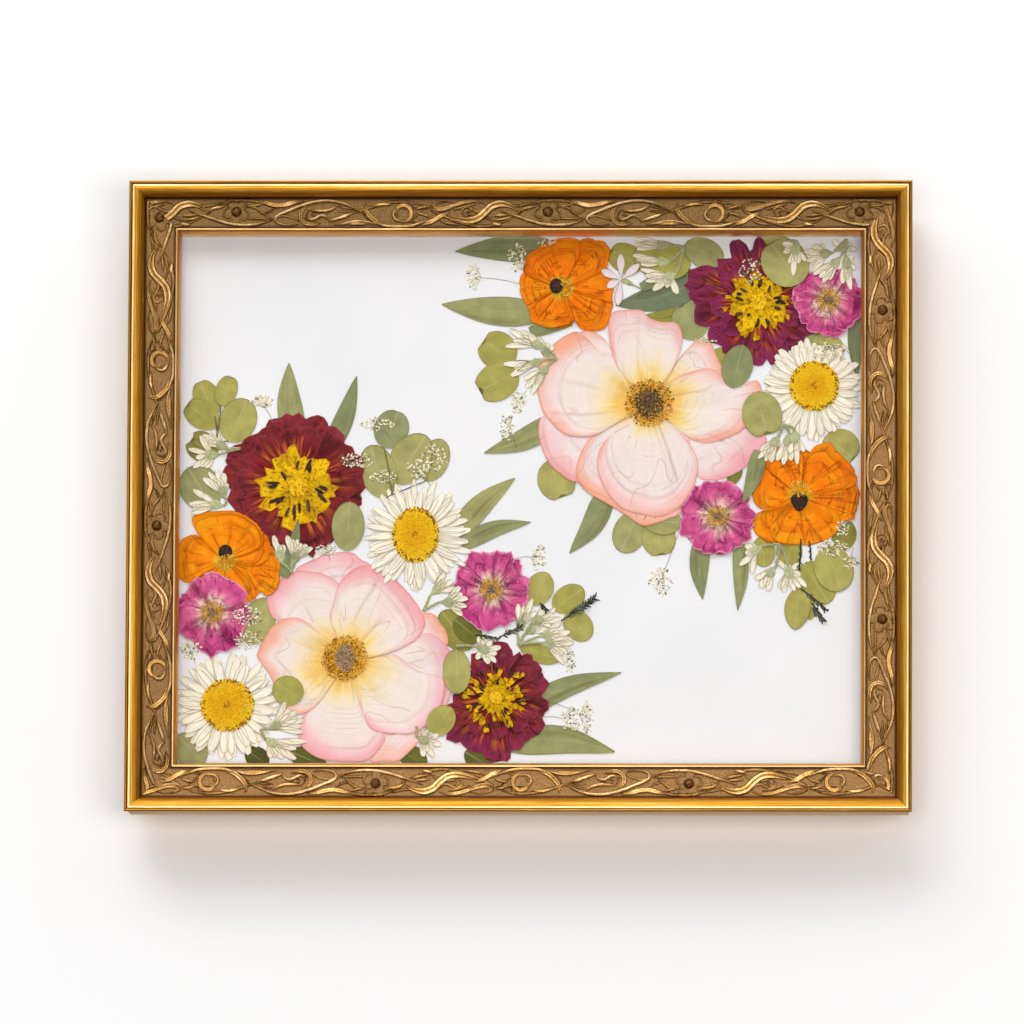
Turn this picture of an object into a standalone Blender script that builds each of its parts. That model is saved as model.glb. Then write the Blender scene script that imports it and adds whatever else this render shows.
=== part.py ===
"""Wall-hung picture frame with pressed flowers under its glass.

World: metres, +Z up, X across the picture, the picture faces -Y. The wall is the plane y = 0 and
the origin is the point of the sawtooth hanger that bears on the wall nail.

Every piece is modelled in picture coordinates, in millimetres: x to the right and y up from the
middle of the picture, h from the back of the moulding towards the viewer. One empty turns them
into the world's axes.
"""

import math

import bmesh
import bpy
from mathutils import Matrix, Vector

MM = 0.001
GAP = 0.3                      # clearance between pieces that touch

# Moulding
FRAME_WIDTH = 391.8            # outer size, over the beads of the rim
FRAME_HEIGHT = 318.5
RAIL_DEPTH = 28.0
RAIL_FACE = 25.8               # from the outer bead to the sight edge
BACK_INSET = 2.0               # how far the sides lean in towards the back
RABBET_WIDTH = 7.5
RABBET_DEPTH = 11.9
SCOOP_START = (1.7, 27.3)      # (inward, h) of the rounded gold band's two edges
SCOOP_END = (7.9, 21.9)
SCOOP_STEPS = 4
PANEL_START = (8.1, 21.4)      # the ornament panel's two edges
PANEL_END = (22.9, 20.4)
LIP_TOP = 21.3
LIP_EDGE = 15.5                # h where the lip turns into the sight edge
LIP_STEPS = 3

# Ornament of the panel
REPEAT = 156.0                 # from one rosette to the next
ROSETTE_RADIUS = 5.6
ROSETTE_PETALS = 8
RELIEF_RISE = 1.1              # how far the vines stand above the panel
VINE_RADIUS = 1.15
RING_RADIUS = 4.2

# Behind the glass, as h of each layer's lower and upper face
BOARD = (2.0, 4.5)
PAPER = (4.8, 5.3)
GLASS = (9.6, 11.6)
LEAF_LAYER = (5.5, 5.75)
BLOOM_TIERS = {1: 5.95, 2: 6.9, 3: 8.25}
PETAL_THICK = 0.4
PETAL_STEP = 0.25              # an upper petal starts this far above a lower one
PETAL_STAGGER = 0.05           # height between neighbouring petals of one layer
PETAL_HEEL = 1.5               # a petal starts this far behind the flower's middle
DISC_RISE = {1: 2.0, 2: 2.2, 3: 1.05}
OVER_LEAF = (7.8, 8.0)         # leaves laid on top of the blooms

# Back
TAB_SIZE = (14.0, 12.0, 0.6)
HANGER_SIZE = (45.0, 11.0)
HANGER_THICK = 0.7
HANGER_END = 7.0               # flat end lug with its nail
HANGER_LIFT = 0.7              # how far the toothed middle stands off the lugs
HANGER_TEETH = 7
HANGER_INWARD = 10.0           # from the outer edge of the top rail to the hanger's middle
TOOTH_DEPTH = 2.0
NAIL_RADIUS = 0.5
NAIL_HEAD = 1.6
NAIL_HEAD_THICK = 0.5
NAIL_LENGTH = 9.0
BUMPER_RADIUS = 5.0
BUMPER_THICK = 2.0
BUMPER_CORNER = 28.0           # from the frame's side to the bumper's middle

# Where the photograph shows a specimen: pixels of the reference photograph
PAPER_MIDDLE_PIXEL = (520.5, 502.5)
PIXELS_PER_MM = (2.0, 1.975)

# Colour, metallic, roughness
FINISHES = {
    "gilt_wood": ((0.55, 0.33, 0.10), 0.7, 0.35),
    "clear_glass": ((0.95, 0.97, 0.96), 0.0, 0.02),
    "linen_paper": ((0.93, 0.92, 0.92), 0.0, 0.9),
    "grey_board": ((0.36, 0.26, 0.17), 0.0, 0.85),
    "brass": ((0.72, 0.52, 0.22), 1.0, 0.35),
    "steel": ((0.55, 0.55, 0.55), 1.0, 0.4),
    "felt": ((0.13, 0.12, 0.11), 0.0, 0.95),
    "pink_petal": ((0.90, 0.68, 0.62), 0.0, 0.7),
    "burgundy_petal": ((0.28, 0.03, 0.07), 0.0, 0.7),
    "orange_petal": ((0.86, 0.30, 0.02), 0.0, 0.65),
    "magenta_petal": ((0.62, 0.12, 0.35), 0.0, 0.7),
    "white_petal": ((0.88, 0.86, 0.76), 0.0, 0.75),
    "dry_leaf": ((0.22, 0.30, 0.13), 0.0, 0.75),
}

# Large loose petals: (direction in degrees, reach, breadth, upper layer)
PINK_LEFT_PETALS = [
    (65, 48, 45, True), (128, 43, 40, False), (95, 51, 34, False), (178, 44, 42, True),
    (266, 49, 40, False), (330, 52, 42, True), (357, 52, 38, False), (300, 50, 32, False),
]
PINK_RIGHT_PETALS = [
    (94, 47, 38, True), (8, 54, 46, True), (342, 57, 28, False), (268, 59, 50, True),
    (212, 56, 38, False), (244, 60, 42, False), (172, 56, 50, True),
]
ORANGE_LEFT_PETALS = [
    (100, 21, 25, False), (42, 26, 29, True), (342, 26, 26, False), (292, 23, 23, True),
    (186, 23, 24, True),
]
ORANGE_TOP_PETALS = [
    (100, 24, 26, False), (45, 26, 27, True), (330, 26, 24, False), (280, 22, 24, True),
    (215, 22, 24, False), (150, 22, 24, True),
]
ORANGE_RIGHT_PETALS = [
    (95, 26, 25, True), (40, 27, 26, False), (350, 29, 25, True), (300, 25, 26, False),
    (242, 24, 26, True), (172, 23, 25, False),
]
MAGENTA_PETALS = [(angle, 17, 21, angle % 144 == 18) for angle in range(18, 378, 72)]

# Blooms: finish, place, tier, radius of the middle, and petals or (rays, radius, notch)
BLOOMS = {
    "pink_rose_left": ("pink_petal", (349, 660), 2, 9.5, PINK_LEFT_PETALS),
    "pink_rose_right": ("pink_petal", (651, 405), 2, 11.0, PINK_RIGHT_PETALS),
    "orange_ranunculus_left": ("orange_petal", (227, 556), 2, 3.5, ORANGE_LEFT_PETALS),
    "orange_ranunculus_top": ("orange_petal", (563, 288), 1, 3.5, ORANGE_TOP_PETALS),
    "orange_ranunculus_right": ("orange_petal", (800, 497), 1, 3.5, ORANGE_RIGHT_PETALS),
    "magenta_rose_left": ("magenta_petal", (213, 615), 3, 5.5, MAGENTA_PETALS),
    "magenta_rose_middle": ("magenta_petal", (492, 592), 3, 5.5, MAGENTA_PETALS),
    "magenta_rose_right": ("magenta_petal", (720, 519), 3, 5.5, MAGENTA_PETALS),
    "magenta_rose_corner": ("magenta_petal", (827, 301), 3, 5.5, MAGENTA_PETALS),
    "burgundy_bloom_left": ("burgundy_petal", (293, 483), 1, 19.0, (13, 33.0, 0.16)),
    "burgundy_bloom_right": ("burgundy_petal", (755, 303), 1, 16.0, (9, 32.0, 0.3)),
    "burgundy_bloom_bottom": ("burgundy_petal", (495, 700), 1, 13.0, (9, 29.5, 0.26)),
    "daisy_left": ("white_petal", (229, 707), 3, 13.0, (24, 26.0, 0.2)),
    "daisy_middle": ("white_petal", (416, 537), 3, 12.5, (26, 28.0, 0.3)),
    "daisy_right": ("white_petal", (812, 393), 3, 12.5, (24, 24.5, 0.2)),
}

# Long leaves under the blooms: tip, base, greatest breadth
LANCE_LEAVES = {
    "lance_leaf_burgundy_up": ((288, 364), (295, 440), 13),
    "lance_leaf_burgundy_right": ((356, 377), (329, 452), 10),
    "lance_leaf_top_upper": ((454, 252), (550, 250), 14),
    "lance_leaf_top_lower": ((441, 305), (535, 314), 15),
    "lance_leaf_pink_left": ((484, 454), (560, 420), 12),
    "lance_leaf_blue": ((617, 306), (700, 280), 16),
    "lance_leaf_pink_bottom": ((570, 554), (607, 492), 12),
    "lance_leaf_magenta_left": ((703, 600), (702, 540), 10),
    "lance_leaf_magenta_right": ((738, 611), (740, 545), 8),
    "lance_leaf_corner": ((855, 377), (857, 312), 8),
    "lance_leaf_daisy_upper": ((515, 479), (455, 537), 12),
    "lance_leaf_daisy_lower": ((531, 523), (462, 546), 9),
    "lance_leaf_bottom_upper": ((622, 673), (520, 712), 11),
    "lance_leaf_bottom_lower": ((616, 752), (510, 742), 15),
}

# Round leaves: middle, (breadth, height), laid over the blooms
ROUND_LEAVES = {
    "round_leaf_grey": ((348, 527), (16, 25), True),
    "round_leaf_magenta": ((266, 619), (16, 23), False),
    "round_leaf_rose_left": ((291, 691), (14, 14), True),
    "round_leaf_rose_right": ((464, 672), (12, 20), True),
    "round_leaf_rose_foot": ((443, 721), (14, 16), True),
    "round_leaf_top": ((703, 251), (20, 15), False),
    "round_leaf_notched": ((787, 264), (23, 24), True),
    "round_leaf_burgundy_foot": ((740, 366), (13, 20), True),
    "round_leaf_daisy": ((845, 445), (15, 19), False),
    "round_leaf_twig": ((541, 590), (12, 15), False),
    "round_leaf_hanging": ((796, 609), (12, 18), False),
}

# Round leaves that grew on one twig: middles and (breadth, height) of each leaf, and the twig's foot
LEAF_TWIGS = {
    "leaf_twig_left": ([((204, 399), (15, 15)), ((226, 388), (12, 13)), ((239, 422), (19, 21))], (215, 441)),
    "leaf_twig_middle": ([((392, 430), (17, 21)), ((417, 457), (24, 24)), ((377, 473), (17, 27))], (392, 494)),
    "leaf_twig_rose": ([((495, 348), (17, 18)), ((493, 387), (20, 19))], (528, 362)),
    "leaf_twig_foot": ([((630, 535), (16, 18)), ((661, 543), (17, 15))], (652, 506)),
}


def spot(pixel):
    """Point of the picture, in millimetres, under a pixel of the reference photograph."""
    across = (pixel[0] - PAPER_MIDDLE_PIXEL[0]) / PIXELS_PER_MM[0]
    up = (PAPER_MIDDLE_PIXEL[1] - pixel[1]) / PIXELS_PER_MM[1]
    return Vector((across, up))


# Scene, collections and finishes

def clear_scene():
    for obj in list(bpy.data.objects):
        bpy.data.objects.remove(obj, do_unlink=True)


def make_collection(name, parent):
    collection = bpy.data.collections.new(name)
    parent.children.link(collection)
    return collection


def make_materials():
    made = {}
    for name, (colour, metallic, roughness) in FINISHES.items():
        material = bpy.data.materials.new(name)
        material.use_nodes = True
        shader = material.node_tree.nodes["Principled BSDF"]
        shader.inputs["Base Color"].default_value = (*colour, 1.0)
        shader.inputs["Metallic"].default_value = metallic
        shader.inputs["Roughness"].default_value = roughness
        made[name] = material
    shader = made["clear_glass"].node_tree.nodes["Principled BSDF"]
    shader.inputs["Transmission Weight"].default_value = 1.0
    return made


def make_middle():
    """The empty that turns picture coordinates into the world's."""
    middle = bpy.data.objects.new("picture_middle", None)
    bearing = FRAME_HEIGHT / 2 - HANGER_INWARD - HANGER_SIZE[1] / 2 + TOOTH_DEPTH
    middle.location = Vector((0.0, -BUMPER_THICK, -bearing)) * MM
    middle.rotation_euler = (math.radians(90), 0.0, 0.0)
    parts.objects.link(middle)
    return middle


# Pieces

def place(name, data, finish, collection=None):
    piece = bpy.data.objects.new(name, data)
    piece.parent = middle
    if finish:
        data.materials.append(materials[finish])
    (collection or parts).objects.link(piece)
    if collection:
        piece.display_type = "WIRE"
        piece.hide_render = True
    return piece


def outline_curve(name, outline, low, high):
    """A flat outline in the picture plane, filled from height low to height high."""
    curve = bpy.data.curves.new(name, "CURVE")
    curve.dimensions = "2D"
    curve.fill_mode = "BOTH"
    curve.extrude = (high - low) / 2 * MM
    line = curve.splines.new("POLY")
    line.points.add(len(outline) - 1)
    for point, (x, y) in zip(line.points, outline):
        point.co = (x * MM, y * MM, 0.0, 1.0)
    line.use_cyclic_u = True
    return curve


def flat_piece(name, outline, low, high, finish):
    piece = place(name, outline_curve(name, outline, low, high), finish)
    piece.location.z = (low + high) / 2 * MM
    return piece


def mesh_of(curve, matrix):
    """A curve's shape as a closed mesh, moved by the matrix; the curve is removed."""
    holder = bpy.data.objects.new("holder", curve)
    parts.objects.link(holder)
    graph = bpy.context.evaluated_depsgraph_get()
    mesh = bpy.data.meshes.new_from_object(holder.evaluated_get(graph))
    bpy.data.objects.remove(holder)
    bpy.data.curves.remove(curve)
    mesh.transform(matrix)
    bm = bmesh.new()
    bm.from_mesh(mesh)
    bmesh.ops.remove_doubles(bm, verts=bm.verts, dist=0.00001)
    bmesh.ops.recalc_face_normals(bm, faces=bm.faces)
    bm.to_mesh(mesh)
    bm.free()
    return mesh


def flat_mesh(name, outline, low, high):
    curve = outline_curve(name, outline, low, high)
    return mesh_of(curve, Matrix.Translation((0.0, 0.0, (low + high) / 2 * MM)))


def bmesh_piece(name, bm):
    mesh = bpy.data.meshes.new(name)
    bm.to_mesh(mesh)
    bm.free()
    return mesh


def box_mesh(name, centre, size):
    bm = bmesh.new()
    scale = Matrix.Diagonal((*[side * MM for side in size], 1.0))
    bmesh.ops.create_cube(bm, size=1.0, matrix=Matrix.Translation(Vector(centre) * MM) @ scale)
    return bmesh_piece(name, bm)


def cone_mesh(name, centre, low, high, low_radius, high_radius, sides):
    bm = bmesh.new()
    at = Matrix.Translation(Vector((centre[0], centre[1], (low + high) / 2)) * MM)
    bmesh.ops.create_cone(
        bm, cap_ends=True, segments=sides, radius1=low_radius * MM, radius2=high_radius * MM,
        depth=(high - low) * MM, matrix=at,
    )
    return bmesh_piece(name, bm)


def combine(piece, helpers, operation):
    """Notes a Boolean; they are all added at the end, so that no shape is worked out twice."""
    joins.append((piece, helpers, operation))


def add_joins():
    for piece, helpers, operation in joins:
        cut = piece.modifiers.new(helpers.name, "BOOLEAN")
        cut.operation = operation
        cut.operand_type = "COLLECTION"
        cut.collection = helpers


def helper_group(name):
    group = make_collection(name, cutters)
    group.hide_render = True
    return group


# Outlines

def petal_outline(base, direction, reach, breadth, points):
    """An egg-shaped petal whose narrow end is at the base; its widest place is beyond half its reach."""
    along = Vector((math.cos(math.radians(direction)), math.sin(math.radians(direction))))
    across = Vector((-along.y, along.x))
    outline = []
    for index in range(points):
        turn = 2 * math.pi * index / points
        share = (1 - math.cos(turn)) / 2
        bulge = math.sin(turn) * (0.62 + 0.38 * share)
        forward = (reach + PETAL_HEEL) * share - PETAL_HEEL
        outline.append(base + along * forward + across * breadth / 2 * bulge)
    return outline


def lance_outline(tip, base, breadth, points=12):
    """A long leaf, pointed at its tip and narrow at its base."""
    along = tip - base
    across = Vector((-along.y, along.x)).normalized()
    outline = []
    for index in range(points):
        turn = 2 * math.pi * index / points
        share = (1 - math.cos(turn)) / 2
        bulge = math.sin(turn) * (1.0 - 0.28 * share)
        outline.append(base + along * share + across * breadth / 2 * bulge)
    return outline


def oval_outline(middle_point, half_width, half_height, points=10):
    outline = []
    for index in range(points):
        turn = 2 * math.pi * index / points
        outline.append(middle_point + Vector((math.cos(turn) * half_width, math.sin(turn) * half_height)))
    return outline


def rosette_outline(middle_point):
    outline = []
    for step in range(ROSETTE_PETALS * 2):
        angle = math.pi * step / ROSETTE_PETALS
        length = ROSETTE_RADIUS * (1.0 if step % 2 else 0.8)
        outline.append(middle_point + Vector((math.cos(angle), math.sin(angle))) * length)
    return outline


def ray_outline(middle_point, rays, radius, notch):
    """A ring of ray petals: a shoulder and a blunt tip between two notches."""
    steps = [(0.0, 1.0 - notch), (0.28, 0.98), (0.72, 1.0)]
    outline = []
    for ray in range(rays):
        uneven = 1.0 + 0.04 * math.sin(2.4 * ray)
        for share, reach in steps:
            angle = 2 * math.pi * (ray + share) / rays
            length = radius * reach * uneven
            outline.append(middle_point + Vector((math.cos(angle), math.sin(angle))) * length)
    return outline


# The moulding

def arc_between(start, end, steps):
    """A quarter of an ellipse from start, where it faces the viewer, to end, where it faces inward."""
    points = []
    for step in range(steps + 1):
        turn = math.pi / 2 * step / steps
        inward = start[0] + (end[0] - start[0]) * math.sin(turn)
        points.append((inward, end[1] + (start[1] - end[1]) * math.cos(turn)))
    return points


def moulding_profile():
    """(inward, h) round the section of the rails, from the outer corner of the back."""
    bead = [(1.0, 26.2), (0.25, 26.5), (0.0, 27.1), (0.2, 27.7), (0.65, 28.0), (1.1, 27.8), (1.4, 26.9)]
    scoop = arc_between(SCOOP_START, SCOOP_END, SCOOP_STEPS)
    lip_start = (PANEL_END[0] + 0.5, LIP_TOP)
    lip = arc_between(lip_start, (RAIL_FACE, LIP_EDGE), LIP_STEPS)
    rabbet_wall = RAIL_FACE - RABBET_WIDTH
    rabbet = [(RAIL_FACE, RABBET_DEPTH), (rabbet_wall, RABBET_DEPTH), (rabbet_wall, 0.0)]
    return [(BACK_INSET, 0.0), *bead, *scoop, PANEL_START, PANEL_END, *lip, *rabbet]


def rail_mesh(name, length):
    """A mitred rail lying along x, its outer edge on y = 0 and its inner edge towards +y."""
    bm = bmesh.new()
    end = [bm.verts.new((-length / 2 * MM, inward * MM, h * MM)) for inward, h in moulding_profile()]
    face = bm.faces.new(end)
    extruded = bmesh.ops.extrude_face_region(bm, geom=[face])
    far = [element for element in extruded["geom"] if isinstance(element, bmesh.types.BMVert)]
    bmesh.ops.translate(bm, verts=far, vec=(length * MM, 0.0, 0.0))
    for vert in bm.verts:
        mitre = vert.co.y + GAP / 2 * MM
        vert.co.x -= math.copysign(mitre, vert.co.x)
    bmesh.ops.recalc_face_normals(bm, faces=bm.faces)
    return bmesh_piece(name, bm)


def panel_height(inward):
    share = (inward - PANEL_START[0]) / (PANEL_END[0] - PANEL_START[0])
    return PANEL_START[1] + (PANEL_END[1] - PANEL_START[1]) * share


# Vines of one repeat: (distance from the rosette, inward from the panel's outer edge)
PANEL_WIDTH = PANEL_END[0] - PANEL_START[0]
VINES = [
    [(-23.0, 6.6), (-14.0, 10.2), (-2.0, 13.5), (10.5, 11.6), (16.0, 9.2)],
    [(18.5, 9.2), (22.0, 6.3), (36.0, 2.2)],
    [(32.5, 11.0), (36.0, 12.8), (40.0, 10.6), (54.0, 9.0), (62.0, 7.2)],
    [(42.0, 6.6), (51.0, 3.4), (62.0, 6.0)],
    [(66.0, 4.8), (68.0, 9.8), (80.5, 13.6), (96.5, 9.2)],
    [(98.0, 4.2), (103.0, 6.4), (122.0, 2.2)],
    [(109.0, 10.2), (119.5, 12.0), (127.0, 4.0), (131.5, 2.6)],
]
RING = (82.0, 6.6)
ROSETTE_INWARD = 6.6


def vine_points(vine, rosette_x):
    """A vine in rail coordinates; the pattern runs towards -x."""
    return [Vector((rosette_x - along, PANEL_START[0] + inward)) for along, inward in vine]


def on_rail(points, length, margin):
    return all(abs(point.x) < length / 2 - point.y - margin for point in points)


def vine_mesh(name, points):
    curve = bpy.data.curves.new(name, "CURVE")
    curve.dimensions = "3D"
    curve.fill_mode = "FULL"
    curve.bevel_depth = VINE_RADIUS * MM
    curve.bevel_resolution = 0
    curve.use_fill_caps = True
    line = curve.splines.new("POLY")
    line.points.add(len(points) - 1)
    last = len(points) - 1
    for index, (point, place_on) in enumerate(zip(line.points, points)):
        height = panel_height(place_on.y) + RELIEF_RISE - VINE_RADIUS
        point.co = (place_on.x * MM, place_on.y * MM, height * MM, 1.0)
        point.radius = 0.6 if index in (0, last) else 1.0
    return mesh_of(curve, Matrix.Identity(4))


def ring_mesh(name, centre):
    bm = bmesh.new()
    sides = 8
    height = panel_height(centre.y) + 0.3
    section = [
        bm.verts.new(((centre.x + RING_RADIUS + off) * MM, centre.y * MM, (height + rise) * MM))
        for off, rise in [(-0.9, -0.6), (0.0, 0.8), (0.9, -0.6)]
    ]
    bm.faces.new(section)
    bmesh.ops.spin(
        bm, geom=bm.faces[:], cent=(centre.x * MM, centre.y * MM, 0.0), axis=(0.0, 0.0, 1.0),
        angle=2 * math.pi, steps=sides, use_merge=True,
    )
    bmesh.ops.remove_doubles(bm, verts=bm.verts, dist=0.00001)
    loose = [face for face in bm.faces if len(face.verts) == 3]
    bmesh.ops.delete(bm, geom=loose, context="FACES")
    bmesh.ops.recalc_face_normals(bm, faces=bm.faces)
    return bmesh_piece(name, bm)


def add_ornament(rail, length, first_rosette):
    """Rosettes, vines and rings, fused to the panel; first_rosette is the x of one rosette."""
    group = helper_group(rail.name + "_relief")
    shapes = []
    for repeat in range(-3, 4):
        x = first_rosette + repeat * REPEAT
        label = f"{rail.name}_{repeat + 3}"
        centre = Vector((x, PANEL_START[0] + ROSETTE_INWARD))
        if on_rail([centre], length, ROSETTE_RADIUS):
            height = panel_height(centre.y)
            petals = rosette_outline(centre)
            shapes.append(flat_mesh(label + "_rosette", petals, height - 0.8, height + 0.7))
            shapes.append(cone_mesh(label + "_boss", centre, height - 0.7, height + 1.5, 2.8, 1.6, 8))
        for number, vine in enumerate(VINES):
            points = vine_points(vine, x)
            if on_rail(points, length, 1.5):
                shapes.append(vine_mesh(f"{label}_vine_{number}", points))
        ring = Vector((x - RING[0], PANEL_START[0] + RING[1]))
        if on_rail([ring], length, RING_RADIUS + 1.5):
            shapes.append(ring_mesh(label + "_ring", ring))
    for mesh in shapes:
        helper = place(mesh.name, mesh, None, group)
        helper.location = rail.location
        helper.rotation_euler = rail.rotation_euler
    combine(rail, group, "UNION")


def make_rails():
    """Name, length, side of the picture, turn, and the x of one rosette along the rail."""
    half_width = FRAME_WIDTH / 2
    half_height = FRAME_HEIGHT / 2
    rails = {
        "rail_bottom": (FRAME_WIDTH, (0.0, -half_height), 0, 85.0),
        "rail_right": (FRAME_HEIGHT, (half_width, 0.0), 90, -61.5),
        "rail_top": (FRAME_WIDTH, (0.0, half_height), 180, -13.5),
        "rail_left": (FRAME_HEIGHT, (-half_width, 0.0), 270, 14.5),
    }
    made = {}
    for name, (length, side, turn, rosette) in rails.items():
        rail = place(name, rail_mesh(name, length), "gilt_wood")
        rail.location = (side[0] * MM, side[1] * MM, 0.0)
        rail.rotation_euler = (0.0, 0.0, math.radians(turn))
        add_ornament(rail, length, rosette)
        made[name] = rail
    return made


# Layers in the rabbet, and the back

def make_layers():
    across = FRAME_WIDTH - 2 * (RAIL_FACE - RABBET_WIDTH) - 2 * GAP
    up = FRAME_HEIGHT - 2 * (RAIL_FACE - RABBET_WIDTH) - 2 * GAP
    layers = {
        "glass": (GLASS, "clear_glass"),
        "mount_paper": (PAPER, "linen_paper"),
        "backing_board": (BOARD, "grey_board"),
    }
    for name, ((low, high), finish) in layers.items():
        size = (across, up, high - low)
        place(name, box_mesh(name, (0.0, 0.0, (low + high) / 2), size), finish)
    return across / 2, up / 2


def make_tabs(half_across, half_up):
    """Flat metal tabs that keep the board in the rabbet, one to each side."""
    height = BOARD[0] - GAP - TAB_SIZE[2] / 2
    reach = TAB_SIZE[1] / 2
    tabs = {
        "tab_left": (-half_across + reach, 0.0, TAB_SIZE[1], TAB_SIZE[0]),
        "tab_right": (half_across - reach, 0.0, TAB_SIZE[1], TAB_SIZE[0]),
        "tab_bottom": (0.0, -half_up + reach, TAB_SIZE[0], TAB_SIZE[1]),
        "tab_top": (0.0, half_up - reach, TAB_SIZE[0], TAB_SIZE[1]),
    }
    for name, (x, y, width, length) in tabs.items():
        place(name, box_mesh(name, (x, y, height), (width, length, TAB_SIZE[2])), "steel")


def hanger_mesh():
    """A strip with two flat lugs and a raised middle, seen from above, swept through its height."""
    half = HANGER_SIZE[0] / 2
    shoulder = half - HANGER_END
    low = -GAP
    raised = low - HANGER_LIFT
    side = [
        (-half, low), (-shoulder, low), (-shoulder + 2, raised), (shoulder - 2, raised),
        (shoulder, low), (half, low),
    ]
    outline = side + [(x, h - HANGER_THICK) for x, h in reversed(side)]
    curve = outline_curve("hanger_strip", outline, -HANGER_SIZE[1] / 2, HANGER_SIZE[1] / 2)
    centre = FRAME_HEIGHT / 2 - HANGER_INWARD
    upright = Matrix.Translation((0.0, centre * MM, 0.0)) @ Matrix.Rotation(math.radians(90), 4, "X")
    return mesh_of(curve, upright)


def make_hanger(rail_top):
    centre = FRAME_HEIGHT / 2 - HANGER_INWARD
    hanger = place("sawtooth_hanger", hanger_mesh(), "brass")
    teeth = helper_group("hanger_teeth")
    pitch = (HANGER_SIZE[0] - 2 * HANGER_END - 6) / HANGER_TEETH
    foot = centre - HANGER_SIZE[1] / 2
    depth = 1.2 + HANGER_LIFT + HANGER_THICK
    for tooth in range(HANGER_TEETH):
        x = (tooth - (HANGER_TEETH - 1) / 2) * pitch
        notch = [
            Vector((x - pitch / 2 + 0.25, foot - 0.5)), Vector((x + pitch / 2 - 0.25, foot - 0.5)),
            Vector((x, foot + TOOTH_DEPTH)),
        ]
        name = f"tooth_gap_{tooth}"
        place(name, flat_mesh(name, notch, -depth, 0.0), None, teeth)
    combine(hanger, teeth, "DIFFERENCE")
    holes = helper_group("nail_holes")
    for side, name in ((-1, "hanger_nail_left"), (1, "hanger_nail_right")):
        x = side * (HANGER_SIZE[0] / 2 - HANGER_END / 2)
        top = NAIL_LENGTH - GAP
        hole = cone_mesh(name + "_hole", (x, centre), -2.5, top + GAP, NAIL_RADIUS + GAP,
                         NAIL_RADIUS + GAP, 8)
        place(name + "_hole", hole, None, holes)
        underside = -2 * GAP - HANGER_THICK
        nail = place(name, cone_mesh(name, (x, centre), underside - NAIL_HEAD_THICK, underside,
                                     NAIL_HEAD * 0.7, NAIL_HEAD, 12), "steel")
        shank = helper_group(name + "_shank")
        shank_mesh = cone_mesh(name + "_shank", (x, centre), underside - 0.2, top, NAIL_RADIUS,
                               NAIL_RADIUS * 0.6, 8)
        place(name + "_shank", shank_mesh, None, shank)
        combine(nail, shank, "UNION")
    combine(hanger, holes, "DIFFERENCE")
    combine(rail_top, holes, "DIFFERENCE")


def make_bumpers():
    x = FRAME_WIDTH / 2 - BUMPER_CORNER
    y = -FRAME_HEIGHT / 2 + (BACK_INSET + RAIL_FACE - RABBET_WIDTH) / 2
    for side, name in ((-1, "bumper_left"), (1, "bumper_right")):
        mesh = cone_mesh(name, (side * x, y), -BUMPER_THICK, -GAP, BUMPER_RADIUS, BUMPER_RADIUS, 24)
        place(name, mesh, "felt")


# Specimens

def make_bloom(name, finish, pixel, tier, disc_radius, petals):
    """Petals in two layers and a domed middle, fused in one flower head."""
    centre = spot(pixel)
    low = BLOOM_TIERS[tier]
    group = helper_group(name + "_petals")
    if isinstance(petals, tuple):
        plates = [(ray_outline(centre, *petals), False)]
    else:
        plates = [
            (petal_outline(centre, turn, reach, breadth, 10 if reach > 30 else 8), raised)
            for turn, reach, breadth, raised in petals
        ]
    for number, (outline, raised) in enumerate(plates):
        bottom = low + (PETAL_STEP if raised else 0.0) + PETAL_STAGGER * (number % 3)
        label = f"{name}_petal_{number}"
        place(label, flat_mesh(label, outline, bottom, bottom + PETAL_THICK), None, group)
    disc = cone_mesh(name, centre, low + 0.1, low + DISC_RISE[tier], disc_radius, disc_radius * 0.8, 14)
    head = place(name, disc, finish)
    combine(head, group, "UNION")


def make_leaves():
    for name, (tip, base, breadth) in LANCE_LEAVES.items():
        flat_piece(name, lance_outline(spot(tip), spot(base), breadth), *LEAF_LAYER, "dry_leaf")
    for name, (pixel, half, over) in ROUND_LEAVES.items():
        outline = oval_outline(spot(pixel), half[0] / 2, half[1] / 2)
        flat_piece(name, outline, *(OVER_LEAF if over else LEAF_LAYER), "dry_leaf")
    for name, (leaves, foot) in LEAF_TWIGS.items():
        group = helper_group(name + "_leaves")
        low, high = LEAF_LAYER
        joint = spot(foot)
        for number, (pixel, half) in enumerate(leaves):
            at = spot(pixel)
            label = f"{name}_leaf_{number}"
            outline = oval_outline(at, half[0] / 2, half[1] / 2)
            place(label, flat_mesh(label, outline, low, high - 0.01 * number), None, group)
            stalk = lance_outline(at, joint, 1.6, 6)
            place(label + "_stalk", flat_mesh(label + "_stalk", stalk, low + 0.05, high - 0.05), None, group)
        twig = place(name, cone_mesh(name, joint, low, high - 0.03, 1.0, 1.0, 8), "dry_leaf")
        combine(twig, group, "UNION")


clear_scene()
parts = make_collection("pressed_flower_frame", bpy.context.scene.collection)
cutters = make_collection("cutters", bpy.context.scene.collection)
cutters.hide_render = True
joins = []
materials = make_materials()
middle = make_middle()
rails = make_rails()
make_tabs(*make_layers())
make_hanger(rails["rail_top"])
make_bumpers()
for bloom_name, bloom in BLOOMS.items():
    make_bloom(bloom_name, *bloom)
make_leaves()
add_joins()
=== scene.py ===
import math
import random

import bmesh
import bpy
import numpy as np
from mathutils import Matrix, Vector


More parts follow.
